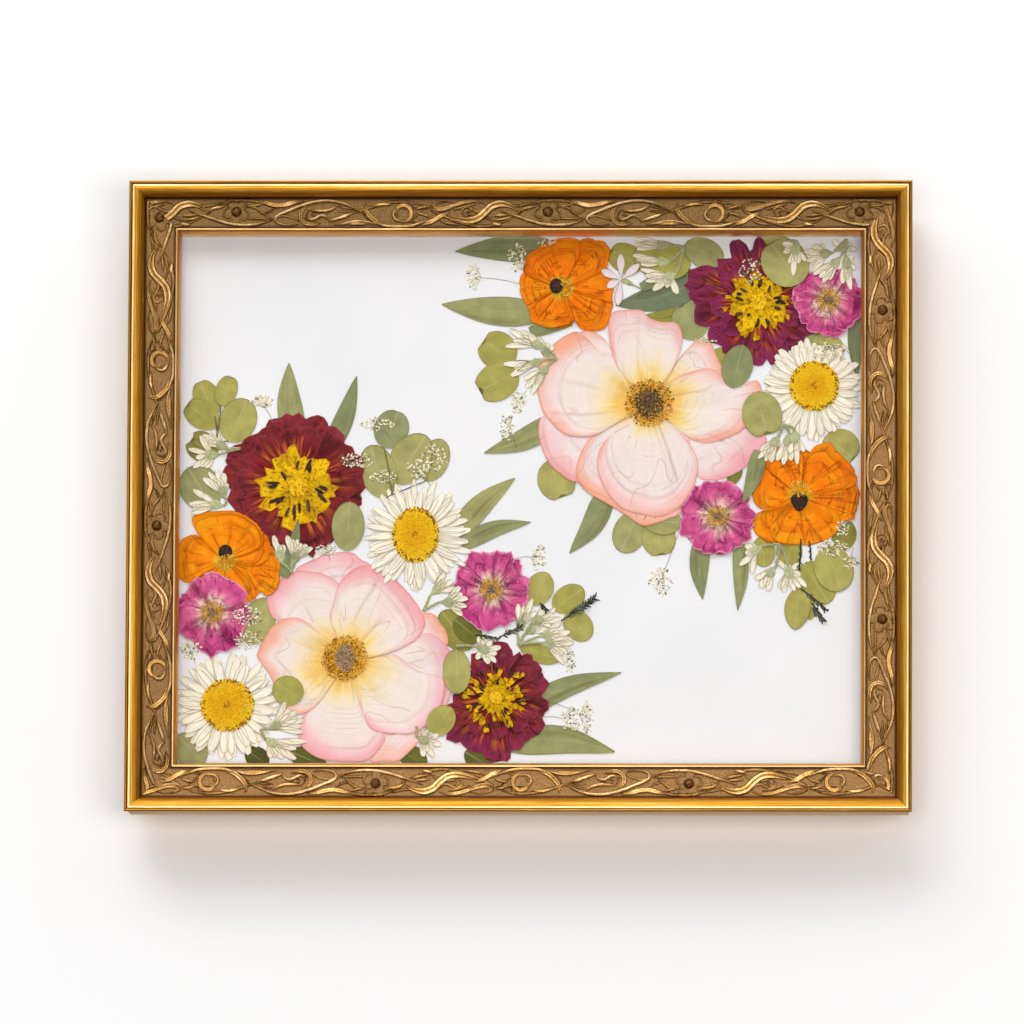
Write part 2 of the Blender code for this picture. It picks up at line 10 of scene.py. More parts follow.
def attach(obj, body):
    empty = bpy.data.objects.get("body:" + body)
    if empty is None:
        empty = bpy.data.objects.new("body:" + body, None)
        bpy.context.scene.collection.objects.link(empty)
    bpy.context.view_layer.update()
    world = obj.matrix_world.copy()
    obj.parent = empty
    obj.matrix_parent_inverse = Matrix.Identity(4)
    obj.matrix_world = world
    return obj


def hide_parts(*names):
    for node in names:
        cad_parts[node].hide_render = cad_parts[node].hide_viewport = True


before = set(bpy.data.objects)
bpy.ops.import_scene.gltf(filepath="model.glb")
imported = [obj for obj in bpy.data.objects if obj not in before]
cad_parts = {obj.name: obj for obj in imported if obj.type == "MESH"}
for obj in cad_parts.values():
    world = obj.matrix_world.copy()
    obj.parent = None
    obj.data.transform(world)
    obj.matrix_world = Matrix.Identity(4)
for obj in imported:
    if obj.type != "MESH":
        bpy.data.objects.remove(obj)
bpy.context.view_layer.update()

# Everything is modelled in picture coordinates, in millimetres: x to the right and y up from the
# middle of the picture, h from the back of the moulding towards the viewer.
pictureToWorld = (Matrix.Translation((0, -0.002, -0.14575)) @ Matrix.Rotation(math.pi / 2, 4, "X")
                  @ Matrix.Scale(0.001, 4))
paperMiddlePixel = (520.5, 502.5)    # pixel of the photograph at the middle of the paper
pixelsPerMm = (2.0, 1.975)


def spot(pixel):
    return Vector(((pixel[0] - paperMiddlePixel[0]) / pixelsPerMm[0],
                   (paperMiddlePixel[1] - pixel[1]) / pixelsPerMm[1]))


def toward(degrees, length=1.0):
    return Vector((math.cos(math.radians(degrees)), math.sin(math.radians(degrees)))) * length


goldenAngle = 137.5          # degrees from one grain of a flower's middle to the next
fullTurn = 6.28


# Materials

def paint(code):
    values = [int(code[i:i + 2], 16) / 255 for i in (0, 2, 4)]
    return tuple(((v + 0.055) / 1.055) ** 2.4 if v > 0.04045 else v / 12.92 for v in values) + (1.0,)


painting = {}    # the material or world whose nodes are being made


def startMaterial(name, roughness, **sockets):
    material = painting["now"] = bpy.data.materials.new(name)
    material.use_nodes = True
    shader = material.node_tree.nodes["Principled BSDF"]
    shader.inputs["Roughness"].default_value = roughness
    for socket, value in sockets.items():
        shader.inputs[socket.replace("_", " ")].default_value = value
    return material


def plug(socket, value):
    if isinstance(value, bpy.types.NodeSocket):
        painting["now"].node_tree.links.new(value, socket)
    else:
        socket.default_value = value


def addNode(kind, inputs, **settings):
    node = painting["now"].node_tree.nodes.new("ShaderNode" + kind)
    for name, value in settings.items():
        setattr(node, name, value)
    for socket, value in inputs.items():
        plug(node.inputs[socket], value)
    return node


def calculate(operation, a, b=0.0):
    return addNode("Math", {0: a, 1: b}, operation=operation).outputs[0]


def times(a, b):
    return calculate("MULTIPLY", a, b)


def plus(a, b):
    return calculate("ADD", a, b)


def minus(a, b):
    return calculate("SUBTRACT", a, b)


def objectPlace():
    return addNode("TexCoord", {}).outputs["Object"]


def fade(value, start, end, low=0.0, high=1.0):
    inputs = {"Value": value, "From Min": start, "From Max": end, "To Min": low, "To Max": high}
    return addNode("MapRange", inputs, interpolation_type="SMOOTHSTEP").outputs["Result"]


def stretch(vector, scale, shift=(0, 0, 0)):
    return addNode("Mapping", {"Vector": vector, "Scale": scale, "Location": shift}).outputs[0]


def cloud(vector, scale, detail=3.0, roughness=0.55, distortion=0.0):
    inputs = {"Vector": vector, "Scale": scale, "Detail": detail, "Roughness": roughness,
              "Distortion": distortion}
    return addNode("TexNoise", inputs).outputs["Fac"]


def streaks(vector, scale, detail, roughness=0.55, shift=(0, 0, 0)):
    # a noise that runs long where the scale is small
    return cloud(stretch(vector, scale, shift), 1.0, detail, roughness)


def ramp(factor, stops):
    node = addNode("ValToRGB", {"Fac": factor})
    bar = node.color_ramp.elements
    while len(bar) < len(stops):
        bar.new(0.5)
    for element, (position, code) in zip(bar, stops):
        element.position = position
        element.color = paint(code)
    return node.outputs["Color"]


def blend(factor, a, b, way="MIX"):
    a = paint(a) if isinstance(a, str) else a
    b = paint(b) if isinstance(b, str) else b
    node = addNode("Mix", {0: factor, 6: a, 7: b}, data_type="RGBA", blend_type=way)
    return node.outputs[2]


def shade(colour, factor, low, high):
    # darkens or lightens a colour by a grey that follows the factor
    grey = addNode("MapRange", {"Value": factor, "From Min": 0.3, "From Max": 0.7,
                                "To Min": low, "To Max": high}).outputs["Result"]
    return addNode("VectorMath", {0: colour, 1: grey}, operation="MULTIPLY").outputs[0]


def finishMaterial(colour, height=None, depth=0.0, roughness=None):
    shader = painting["now"].node_tree.nodes["Principled BSDF"]
    plug(shader.inputs["Base Color"], colour)
    if height is not None:
        bump = addNode("Bump", {"Height": height, "Distance": depth, "Strength": 1.0})
        plug(shader.inputs["Normal"], bump.outputs["Normal"])
    if roughness is not None:
        plug(shader.inputs["Roughness"], roughness)
    return painting["now"]


def readAttribute(name):
    return addNode("Attribute", {}, attribute_name=name).outputs


def splitVector(vector):
    return addNode("SeparateXYZ", {0: vector}).outputs


def joinVector(x, y, z):
    return addNode("CombineXYZ", {0: x, 1: y, 2: z}).outputs[0]


# Pieces

def sharpen(bm, degrees):
    for edge in bm.edges:
        edge.smooth = edge.calc_face_angle(0.0) < math.radians(degrees)
    for face in bm.faces:
        face.smooth = True


def makePiece(name, bm, materials, replaced=(), crease=40):
    sharpen(bm, crease)
    bmesh.ops.transform(bm, matrix=pictureToWorld, verts=bm.verts)
    mesh = bpy.data.meshes.new(name)
    bm.to_mesh(mesh)
    bm.free()
    for material in materials:
        mesh.materials.append(material)
    piece = bpy.data.objects.new(name, mesh)
    bpy.context.scene.collection.objects.link(piece)
    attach(piece, "root")
    if replaced:
        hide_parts(*replaced)


def smoothLine(points, pieces):
    # evenly spaced points on a smooth curve through the given ones
    points = [Vector(p) for p in points]
    chain = [2 * points[0] - points[1]] + points + [2 * points[-1] - points[-2]]
    dense = []
    for a, b, c, d in zip(chain, chain[1:], chain[2:], chain[3:]):
        for step in range(6):
            t = step / 6
            dense.append(0.5 * (2 * b + (c - a) * t + (2 * a - 5 * b + 4 * c - d) * t ** 2
                                + (3 * b - a - 3 * c + d) * t ** 3))
    dense.append(points[-1])
    dense = np.array([tuple(p) for p in dense])
    steps = np.linalg.norm(np.diff(dense, axis=0), axis=1)
    along = np.concatenate([[0.0], np.cumsum(steps)])
    wanted = np.linspace(0, along[-1], pieces + 1)
    return np.stack([np.interp(wanted, along, dense[:, i]) for i in range(dense.shape[1])], axis=1)


# Camera, light and stage

view = {
    "aim": (-0.00395, -0.0150, -0.15210),
    "distance": 8.0,
    "azimuth": 1.787,        # degrees to the right of straight on
    "elevation": -8.91,      # the photograph looks up at the frame
    "roll": 0.292,
    "lens": 563.2,
}


def addCamera():
    data = bpy.data.cameras.new("camera")
    data.lens = view["lens"]
    data.sensor_width = 36
    data.clip_end = 60
    camera = bpy.data.objects.new("camera", data)
    bpy.context.scene.collection.objects.link(camera)
    turn, tilt = math.radians(view["azimuth"]), math.radians(view["elevation"])
    back = Vector((math.sin(turn) * math.cos(tilt), -math.cos(turn) * math.cos(tilt), math.sin(tilt)))
    camera.rotation_mode = "QUATERNION"
    camera.rotation_quaternion = (back.to_track_quat("Z", "Y")
                                  @ Matrix.Rotation(math.radians(view["roll"]), 3, "Z").to_quaternion())
    camera.location = Vector(view["aim"]) + back * view["distance"]
    bpy.context.scene.camera = camera


stage = {
    "wallGap": 0.015,        # metres from the back of the bumpers to the wall
    "floorDrop": 1.75,
    "reach": 12.0,
    "bend": 0.5,             # radius of the sweep from floor to wall
    # brightness of the room by height, from straight below to straight above
    # it is dark where the glass mirrors it, a little above straight ahead
    "room": [(0.0, "5C5C5C"), (0.25, "8A8A8A"), (0.42, "A0A0A0"), (0.525, "A8A8A8"), (0.55, "1E1E1E"),
             (0.605, "1E1E1E"), (0.63, "D0D0D0"), (0.72, "F6F6F6")],
    "roomPower": 0.86,
    "wallPower": 2.3,        # how much brighter the room is on the wall's side
    "roomColour": (1.0, 0.98, 0.965, 1.0),
    "keyPower": 45.0,
    "keyPlace": (-0.8, -2.45, 2.05),
    "keySize": (2.4, 1.5),
    "keyColour": (0.90, 0.985, 1.05),
    "frontPower": 54.0,
    "frontPlace": (0.45, -3.15, -0.6),
    "frontSize": (2.6, 1.1),
    "frontColour": (1.0, 0.975, 0.955),
}


def addLamp(name):
    data = bpy.data.lights.new(name, "AREA")
    data.shape = "RECTANGLE"
    data.energy = stage[name + "Power"]
    data.size, data.size_y = stage[name + "Size"]
    data.color = stage[name + "Colour"]
    lamp = bpy.data.objects.new(name, data)
    lamp.location = stage[name + "Place"]
    lamp.rotation_mode = "QUATERNION"
    lamp.rotation_quaternion = (lamp.location - Vector((0, 0, -0.15))).to_track_quat("Z", "Y")
    bpy.context.scene.collection.objects.link(lamp)


def addStage():
    # one sheet: the floor in front, a round sweep, and the wall that the frame hangs on
    bm = bmesh.new()
    reach, bend, floor = stage["reach"], stage["bend"], -stage["floorDrop"]
    wall = stage["wallGap"]
    path = [bm.verts.new((-reach, -reach, floor)), bm.verts.new((-reach, wall - bend, floor))]
    bm.edges.new(path)
    bmesh.ops.spin(bm, geom=[path[1]], cent=(0, wall - bend, floor + bend), axis=(1, 0, 0),
                   angle=math.pi / 2, steps=12)
    top = max(bm.verts, key=lambda vert: (vert.co.y, vert.co.z))
    raised = bmesh.ops.extrude_vert_indiv(bm, verts=[top])["verts"]
    bmesh.ops.translate(bm, verts=raised, vec=(0, 0, reach))
    side = bmesh.ops.extrude_edge_only(bm, edges=list(bm.edges))["geom"]
    bmesh.ops.translate(bm, verts=[v for v in side if isinstance(v, bmesh.types.BMVert)],
                        vec=(2 * reach, 0, 0))
    bmesh.ops.recalc_face_normals(bm, faces=bm.faces)
    middle = min(bm.faces, key=lambda face: face.calc_center_median().y)
    if middle.normal.z < 0:
        bmesh.ops.reverse_faces(bm, faces=bm.faces)
    for face in bm.faces:
        face.smooth = True
    mesh = bpy.data.meshes.new("backdrop")
    bm.to_mesh(mesh)
    bm.free()
    backdrop = bpy.data.objects.new("backdrop", mesh)
    bpy.context.scene.collection.objects.link(backdrop)

    # seen from behind the sheet lets light and sight through, so the back of the frame can be looked at
    material = startMaterial("white_backdrop", 0.95, Specular_IOR_Level=0.1)
    place = objectPlace()
    tint = ramp(cloud(place, 1.5), [(0.3, "F6F5F5"), (0.7, "F8F7F7")])
    finishMaterial(tint)
    tree = material.node_tree
    clear = addNode("BsdfTransparent", {})
    side = addNode("NewGeometry", {}).outputs["Backfacing"]
    mixed = addNode("MixShader", {0: side, 1: tree.nodes["Principled BSDF"].outputs[0],
                                  2: clear.outputs[0]})
    tree.links.new(mixed.outputs[0], tree.nodes["Material Output"].inputs["Surface"])
    mesh.materials.append(material)
    backdrop.visible_shadow = False
    backdrop.visible_diffuse = False
    backdrop.visible_glossy = False


def addLight():
    world = bpy.data.worlds.new("studio")
    bpy.context.scene.world = world
    world.use_nodes = True
    painting["now"] = world
    background = world.node_tree.nodes["Background"]
    place = splitVector(addNode("TexCoord", {}).outputs["Generated"])
    height = plus(times(place[2], 0.5), 0.5)
    level = times(ramp(height, stage["room"]), fade(place[1], 0.0, 0.3, 1.0, stage["wallPower"]))
    plug(background.inputs["Strength"], times(level, stage["roomPower"]))
    background.inputs["Color"].default_value = stage["roomColour"]
    addLamp("key")
    addLamp("front")
    bpy.context.scene.view_settings.view_transform = "Standard"
    bpy.context.scene.view_settings.look = "None"


print("camera, light and backdrop")
addCamera()
addStage()
addLight()


# Moulding

moulding = {
    "width": 391.8,
    "height": 318.5,
    "face": 25.8,             # from the outer bead to the sight edge
    "mitreGap": 0.12,
    "scoop": ((1.7, 27.3), (7.9, 21.9)),    # (inward, h) of the rounded gold band's two edges
    "scoopSteps": 14,
    "panel": ((8.25, 21.35), (22.8, 20.4)),
    "lip": ((23.3, 21.4), (25.8, 15.5)),
    "lipSteps": 9,
    "outerGroove": (8.0, 21.1),
    "innerGroove": [(23.0, 20.1), (23.1, 20.9)],
    "rabbet": (18.3, 11.9),
    "bead": [(2.0, 0.0), (1.0, 26.1), (0.55, 26.35), (0.15, 26.7), (0.0, 27.1), (0.06, 27.5),
             (0.3, 27.85), (0.65, 28.0), (1.0, 27.9), (1.25, 27.6), (1.4, 27.05), (1.55, 26.95)],
    "repeat": 156.0,          # from one rosette to the next
    "rosetteInward": 6.6,     # from the panel's outer edge
    "ringInward": 7.0,
    "ringAlong": 83.2,        # from a rosette to the next ring
    "reliefScale": 14.9 / 15.5 / 2,    # millimetres inward to a pixel of the strokes
    "reliefRise": 1.2,
    "reliefWidth": (1.7, 1.35),    # of thin and of broad strokes
    "lowScrolls": (78.0, 0.55, 0.85),    # how far the second, lower layer is moved, its rise and its width
    "patinaAndShade": 0.7,            # how far the dark skirt round the relief reaches: painted shade at the ridges' feet, with the hollows' patina
}

# Rails: length, middle of the outer edge, turn in degrees, place of one rosette along the rail, and the
# painted shade of its panel and ornament, darkest on the top and left rails, as the light falls from the
# upper left
rails = {
    "rail_bottom": ("width", (0, -1), 0, 85.0, 1.02),
    "rail_right": ("height", (1, 0), 90, -61.5, 0.96),
    "rail_top": ("width", (0, 1), 180, -13.5, 0.70),
    "rail_left": ("height", (-1, 0), 270, 14.5, 0.84),
}

# One repeat of the relief, in photo pixels from the rosette: places along and inward, then width, rise and
# how far the middle of the ridge is hollowed
reliefStrokes = [
    ([(36.8, 20.4), (27.9, 25.1), (15.4, 27.4), (1.1, 27.4), (-11.4, 25.1), (-25.7, 20.4), (-36.4, 16.7),
      (-47.5, 12.5)], 2.5, 1.1, 0),
    ([(35.4, 19.9), (22.5, 21), (8.2, 20.3)], 1.8, 0.7, 0),
    ([(31.1, 19), (24.3, 13.4), (20.4, 10.1), (13.2, 8.8)], 2, 0.8, 0),
    ([(-35.7, 18.2), (-43.5, 21.2), (-53.9, 22.7)], 2.1, 0.9, 0),
    ([(-38.2, 16.7), (-46.2, 17.5), (-54.6, 18)], 2.1, 0.9, 0),
    ([(-46.2, 27.4), (-51.6, 26.7), (-56.4, 25.6)], 3.6, 1, 0),
    ([(-10.5, 6.6), (-15.3, 8.8), (-23.9, 10.5), (-29.6, 15.3)], 2.3, 0.9, 0),
    ([(281.6, 12.7), (274.5, 7.5), (264.3, 5.3), (254.9, 8.3), (248.6, 14.9), (240.6, 21.2), (231.6, 23),
      (222.7, 21.4), (213.8, 19)], 6.8, 1.6, 0.55),
    ([(248.6, 5.3), (239.7, 2.7), (229.9, 3.5), (220, 6.6), (211.1, 9.7), (201.8, 10.8), (196.8, 7.9),
      (200, 4.9), (205.7, 4.2)], 3.6, 1.2, 0.3),
    ([(220.9, 7), (211.1, 11.4), (201.8, 13.2), (195, 10.5), (194, 6.4)], 1.8, 1.3, 0),
    ([(239.7, 6.1), (231.6, 7.9), (225.7, 12), (228.6, 18.6)], 2, 0.8, 0),
    ([(241.5, 14.9), (236.1, 17.5), (231.1, 15.6)], 1.6, 0.7, 0),
    ([(239.3, 10.1), (234.3, 12.7), (230.4, 14.5)], 1.6, 0.6, 0),
    ([(232.5, 6.4), (225, 9.4), (217.5, 11.8)], 1.8, 0.8, 0),
    ([(224.5, 27.3), (216.5, 26.5), (209.3, 25.1), (203.6, 22.7)], 2, 0.8, 0),
    ([(213.2, 14.5), (204, 18.6), (196.8, 23.2), (189.7, 26.5), (184.7, 28.2)], 4.1, 1.3, 0.3),
    ([(196.8, 20.3), (187.5, 24.5), (175.4, 27.4)], 1.8, 0.8, 0),
    ([(194.1, 20.4), (189.3, 17.1), (180, 14.9)], 2.1, 0.9, 0),
    ([(192.5, 8.3), (186.1, 9), (179.7, 11.2)], 2.1, 0.9, 0),
    ([(195, 20.8), (187, 24.5), (176.2, 28.2), (163.7, 29.3), (149.5, 28.6), (139.6, 24.5),
      (133, 18.6)], 2.5, 1.1, 0),
    ([(150.4, 26.9), (140.6, 24.1), (133.4, 17.7), (129, 10.8), (130, 4.2)], 4.3, 1.3, 0.4),
    ([(156.1, 6.8), (146.8, 5.7), (134.7, 8.3)], 2.7, 1, 0),
    ([(168.2, 21.9), (162, 23), (157.2, 19.3), (157.9, 13.8), (161.8, 9)], 2.3, 1, 0),
    ([(130.7, 17.1), (121.8, 12.1), (112.9, 7.5), (103.1, 3.8), (90.6, 2.2), (78.1, 3.5), (64.7, 7.5),
      (54, 12), (45, 15.8), (39, 19.9), (40.4, 24.5), (45.4, 26.9), (54, 27.8), (62.3, 26.3)], 2.5, 1.2, 0),
    ([(103.1, 6.1), (95.9, 10.8), (87, 12.9), (72.7, 11.8)], 2.5, 1, 0),
    ([(116.8, 15.3), (105.7, 19.3), (95.9, 22.7), (92.2, 24.1)], 3.4, 1.1, 0),
    ([(94.7, 24.5), (89.7, 19), (84.7, 17.5), (79, 20.8), (73.6, 22.1), (69.7, 18.2)], 2.3, 1.2, 0),
    ([(84.7, 25.2), (78.1, 26.7), (70.4, 26.3), (65, 21.9), (64.3, 15.6), (67.9, 10.1),
      (71.8, 7)], 3.6, 1.3, 0.4),
    ([(145.9, 27.4), (137, 26), (129, 23.9), (120.9, 23.4), (112.9, 24.9), (105.7, 26.7),
      (97.7, 27.4)], 2.3, 1, 0),
    ([(132.5, 26.3), (120.9, 25.8), (110.2, 26.7)], 3.9, 0.8, 0),
    ([(67.3, 2.2), (58.4, 3.7), (48.6, 6.4), (39.6, 7), (30.7, 4.8), (21.2, 2.5)], 4.3, 1.3, 0.3),
    ([(26.2, 5.3), (18.2, 7.5), (11.2, 8.4)], 2, 0.8, 0),
]
bandOfFace = {"gold": 0, "panel": 1, "relief": 2, "dome": 3}


def quarterRound(band):
    (startIn, startH), (endIn, endH) = moulding[band]
    steps = moulding[band + "Steps"]
    angles = [math.pi / 2 * step / steps for step in range(steps + 1)]
    return [(startIn + (endIn - startIn) * math.sin(angle), endH + (startH - endH) * math.cos(angle))
            for angle in angles]


def railSection():
    # the profile's points from the back of the outer side round to the rabbet, as (inward, h)
    inward, h = moulding["rabbet"]
    return (moulding["bead"] + quarterRound("scoop") + [moulding["outerGroove"], *moulding["panel"]]
            + moulding["innerGroove"] + quarterRound("lip")
            + [(moulding["face"], h), (inward, h), (inward, 0.0)])


def panelHeight(inward):
    (startIn, startH), (endIn, endH) = moulding["panel"]
    return startH + (endH - startH) * (inward - startIn) / (endIn - startIn)


def addStroke(bm, points, width, rise, hollow=0.0, sunk=0.85):
    # a closed ridge that tapers at both ends, its foot sunk in the panel
    count = max(4, int(sum((Vector(b) - Vector(a)).length for a, b in zip(points, points[1:])) / 1.6))
    line = smoothLine(points, count)
    ahead = np.gradient(line, axis=0)
    ahead /= np.linalg.norm(ahead, axis=1)[:, None]
    grid = bmesh.ops.create_grid(bm, x_segments=6 if hollow else 4, y_segments=count, size=1)
    for vert in grid["verts"]:
        t, s = vert.co.x, (vert.co.y + 1) / 2
        index = round(s * count)
        taper = min(1.0, 0.30 + 2.6 * min(s, 1 - s))
        across = Vector((ahead[index][1], -ahead[index][0])) * width / 2 * taper * t
        crown = math.sqrt(max(0.0, 1 - t * t)) * (1 - hollow * (1 - abs(t)) ** 1.5)
        foot = panelHeight(line[index][1] + across.y)
        vert.co = (line[index][0] + across.x, line[index][1] + across.y,
                   foot - 0.3 * sunk + crown * (0.3 * sunk + rise * (0.45 + 0.55 * taper)))
    faces = list({face for vert in grid["verts"] for face in vert.link_faces})
    edges = [edge for edge in {e for f in faces for e in f.edges} if len(edge.link_faces) == 1]
    under = bmesh.ops.duplicate(bm, geom=faces)["geom"]
    underside = [v for v in under if isinstance(v, bmesh.types.BMVert)]
    for vert in underside:
        vert.co.z = panelHeight(vert.co.y) - sunk
    bmesh.ops.reverse_faces(bm, faces=[f for f in under if isinstance(f, bmesh.types.BMFace)])
    lower = [e for e in under if isinstance(e, bmesh.types.BMEdge) and len(e.link_faces) == 1]
    bmesh.ops.bridge_loops(bm, edges=edges + lower)


def addBall(bm, ball, place, size, turn=0.0):
    bmesh.ops.transform(bm, verts=ball["verts"], matrix=Matrix.Translation(place)
                        @ Matrix.Rotation(math.radians(turn), 4, "Z") @ Matrix.Diagonal((*size, 1)))


def addRosette(bm, x, inward):
    # the scalloped rim of five flat petals
    middle = moulding["panel"][0][0] + inward
    for petal in range(5):
        rim = [Vector((x, middle)) + toward(72 * petal + 12 + turn, reach)
               for turn, reach in ((-33, 4.4), (-20, 6.1), (0, 6.6), (20, 6.1), (33, 4.4))]
        addStroke(bm, [tuple(point) for point in rim], 1.2, 0.95)


def addRosettePetals(bm, x, inward):
    middle = moulding["panel"][0][0] + inward
    foot = panelHeight(middle)
    for petal in range(5):
        out = toward(72 * petal + 12, 3.7)
        addBall(bm, bmesh.ops.create_icosphere(bm, subdivisions=2, radius=1.0),
                (x + out.x, middle + out.y, foot - 0.2), (2.9, 2.7, 0.75), 72 * petal + 12)


def addDome(bm, x, inward):
    middle = moulding["panel"][0][0] + inward
    foot = panelHeight(middle)
    addBall(bm, bmesh.ops.create_uvsphere(bm, u_segments=24, v_segments=12, radius=1.0),
            (x, middle, foot), (2.7, 2.7, 2.0))


def addCurl(bm, x, inward):
    # a leaf curled into a ring, broad at its outer side, with its tip turned in
    middle = moulding["panel"][0][0] + inward
    for radius, grow, start, end, width, rise in (
            (5.2, -2.2, 70, 400, 2.6, 1.3), (4.4, 0.4, 40, 130, 1.9, 1.0), (6.2, 0.0, 195, 300, 1.2, 0.9)):
        turns = [start + (end - start) * step / 9 for step in range(10)]
        line = [(x + math.cos(math.radians(turn)) * (radius + grow * step / 9),
                 middle + math.sin(math.radians(turn)) * (radius + grow * step / 9) * 0.96)
                for step, turn in enumerate(turns)]
        addStroke(bm, line, width, rise, 0.3)


def markBand(bm, band):
    # gives the faces made since the last call their part of the moulding
    for face in bm.faces:
        if not face.tag:
            face.material_index = bandOfFace[band]
            face.tag = True


def buildRail(name):
    lengthOf, outward, turn, rosetteAt, brightness = rails[name]
    length = moulding[lengthOf]
    bm = bmesh.new()
    rise = bm.verts.layers.float.new("rise")
    place = bm.verts.layers.float_vector.new("moulding")
    railShade = bm.verts.layers.float.new("railShade")
    section = railSection()
    verts = [bm.verts.new((-length / 2 - 1, inward, h)) for inward, h in section]
    outline = bm.faces.new(verts)
    swept = bmesh.ops.extrude_face_region(bm, geom=[outline])["geom"]
    bmesh.ops.translate(bm, verts=[v for v in swept if isinstance(v, bmesh.types.BMVert)],
                        vec=(length + 2, 0, 0))
    bmesh.ops.recalc_face_normals(bm, faces=bm.faces)
    panelIn, panelOut = moulding["panel"][0][0] - 0.3, moulding["panel"][1][0] + 0.25
    for face in bm.faces:
        middle = face.calc_center_median()
        onPanel = panelIn < middle.y < panelOut and face.normal.z > 0.5
        face.material_index = bandOfFace["panel"] if onPanel else bandOfFace["gold"]

    ornament = bmesh.new()
    start, scaleIn = moulding["panel"][0][0], moulding["reliefScale"]
    repeats = [rosetteAt + step * moulding["repeat"] for step in range(-3, 4)]
    for x in repeats:
        if abs(x) < length / 2:
            addRosettePetals(ornament, x, moulding["rosetteInward"])
    markBand(ornament, "panel")
    moved, lowRise, lowWidth = moulding["lowScrolls"]
    for x in repeats:
        for points, width, raised, hollow in reliefStrokes:
            # the thin scrolls lie a second time between the others, lower and turned over
            line = [(x - moved - u / 2, start + (31 - v) * scaleIn) for u, v in points]
            if width < 3 and min(abs(p[0]) for p in line) < length / 2:
                addStroke(ornament, line, width * lowWidth, raised * lowRise, 0.0, 0.5)
            line = [(x - u / 2, start + v * scaleIn) for u, v in points]
            if min(abs(p[0]) for p in line) < length / 2:
                wide = width / 2 * moulding["reliefWidth"][0 if width < 3 else 1]
                # a low skirt, a little wider than the stroke and dark for its small rise: painted shade
                # round the ridge's foot
                addStroke(ornament, line, wide + moulding["patinaAndShade"], 0.07, 0.0, 0.3)
                addStroke(ornament, line, wide, raised * moulding["reliefRise"], hollow)
        if abs(x) < length / 2:
            addRosette(ornament, x, moulding["rosetteInward"])
        if abs(x - moulding["ringAlong"]) < length / 2:
            addCurl(ornament, x - moulding["ringAlong"], moulding["ringInward"])
    markBand(ornament, "relief")
    for x in repeats:
        if abs(x) < length / 2:
            addDome(ornament, x, moulding["rosetteInward"])
    markBand(ornament, "dome")
    bmesh.ops.recalc_face_normals(ornament, faces=ornament.faces)
    ornamentMesh = bpy.data.meshes.new("ornament")
    ornament.to_mesh(ornamentMesh)
    ornament.free()
    bm.from_mesh(ornamentMesh)
    bpy.data.meshes.remove(ornamentMesh)

    # mitres
    for sign in (-1, 1):
        corner = (sign * (length / 2 - moulding["mitreGap"] / 2), 0, 0)
        normal = Vector((sign, 1, 0)).normalized()
        cut = bmesh.ops.bisect_plane(bm, geom=bm.verts[:] + bm.edges[:] + bm.faces[:], dist=0.0005,
                                     plane_co=corner, plane_no=normal, clear_outer=True)
        edges = [e for e in cut["geom_cut"] if isinstance(e, bmesh.types.BMEdge) and e.is_boundary]
        filled = bmesh.ops.holes_fill(bm, edges=edges, sides=0)["faces"]
        for face in filled:
            face.material_index = bandOfFace["gold"]
    for vert in bm.verts:
        vert[place] = vert.co
        # the rail's painted shade, read by the panel and relief materials
        vert[railShade] = brightness
        vert[rise] = max(0.0, min(1.0, (vert.co.z - panelHeight(vert.co.y)) / 1.25))
    middle = (outward[0] * moulding["width"] / 2, outward[1] * moulding["height"] / 2, 0)
    bmesh.ops.transform(bm, verts=bm.verts, matrix=Matrix.Translation(middle)
                        @ Matrix.Rotation(math.radians(turn), 4, "Z"))
    return bm


def goldLeaf():
    # rubbed gold on the plain bands: long brushed lines, painted shade in the grooves, painted highlights
    # on the edges
    startMaterial("brushed_gold", 0.36, Metallic=1.0)
    place = readAttribute("moulding")["Vector"]
    _, inward, h = splitVector(place)
    streak = streaks(place, (0.012, 2.6, 2.6), 4.0, 0.7)
    patch = streaks(place, (0.03, 0.25, 0.25), 3.0)
    worn = streaks(place, (0.05, 1.4, 1.4), 4.0, 0.7, shift=(40, 0, 0))
    colour = ramp(streak, [(0.30, "8C5408"), (0.46, "C8881E"), (0.58, "DEA246"), (0.72, "EEC07A")])
    colour = shade(colour, patch, 0.86, 1.08)
    # painted shade: darker in the grooves on both sides of the panel, beside the band and under the lip
    grooveShade = fade(inward, 7.2, 7.95)
    inner = fade(inward, 22.6, 23.8, 1.0, 0.0)
    dark = times(grooveShade, inner)
    colour = blend(times(dark, 0.92), colour, "2C1903")
    # painted highlight along the outer edge of the rounded band, where the gilding is also rubbed bright
    rim = times(fade(inward, 1.72, 1.85), fade(inward, 2.2, 2.9, 1.0, 0.0))
    colour = blend(times(rim, 0.8), colour, "FBE6B4")
    # painted highlight along the crest of the lip
    lipHighlight = times(fade(inward, 22.9, 23.4), fade(inward, 23.7, 24.5, 1.0, 0.0))
    colour = blend(times(lipHighlight, 0.6), colour, "FBDDA4")
    # painted shade in the narrow quirk between the outer bead and the band
    quirkShade = times(fade(inward, 1.1, 1.4), fade(inward, 1.6, 2.0, 1.0, 0.0))
    colour = blend(times(quirkShade, 0.7), colour, "4A2C08")
    side = fade(h, 12.0, 27.0, 1.0, 0.0)
    colour = blend(times(side, 0.8), colour, "DDA25E")
    rough = fade(worn, 0.35, 0.7, 0.30, 0.48)
    return finishMaterial(colour, streak, 0.00012, rough)


def gildedAndShaded(colour):
    # multiplies the colour by its rail's painted shade
    railShade = readAttribute("railShade")["Fac"]
    return addNode("VectorMath", {0: colour, 1: railShade}, operation="MULTIPLY").outputs[0]


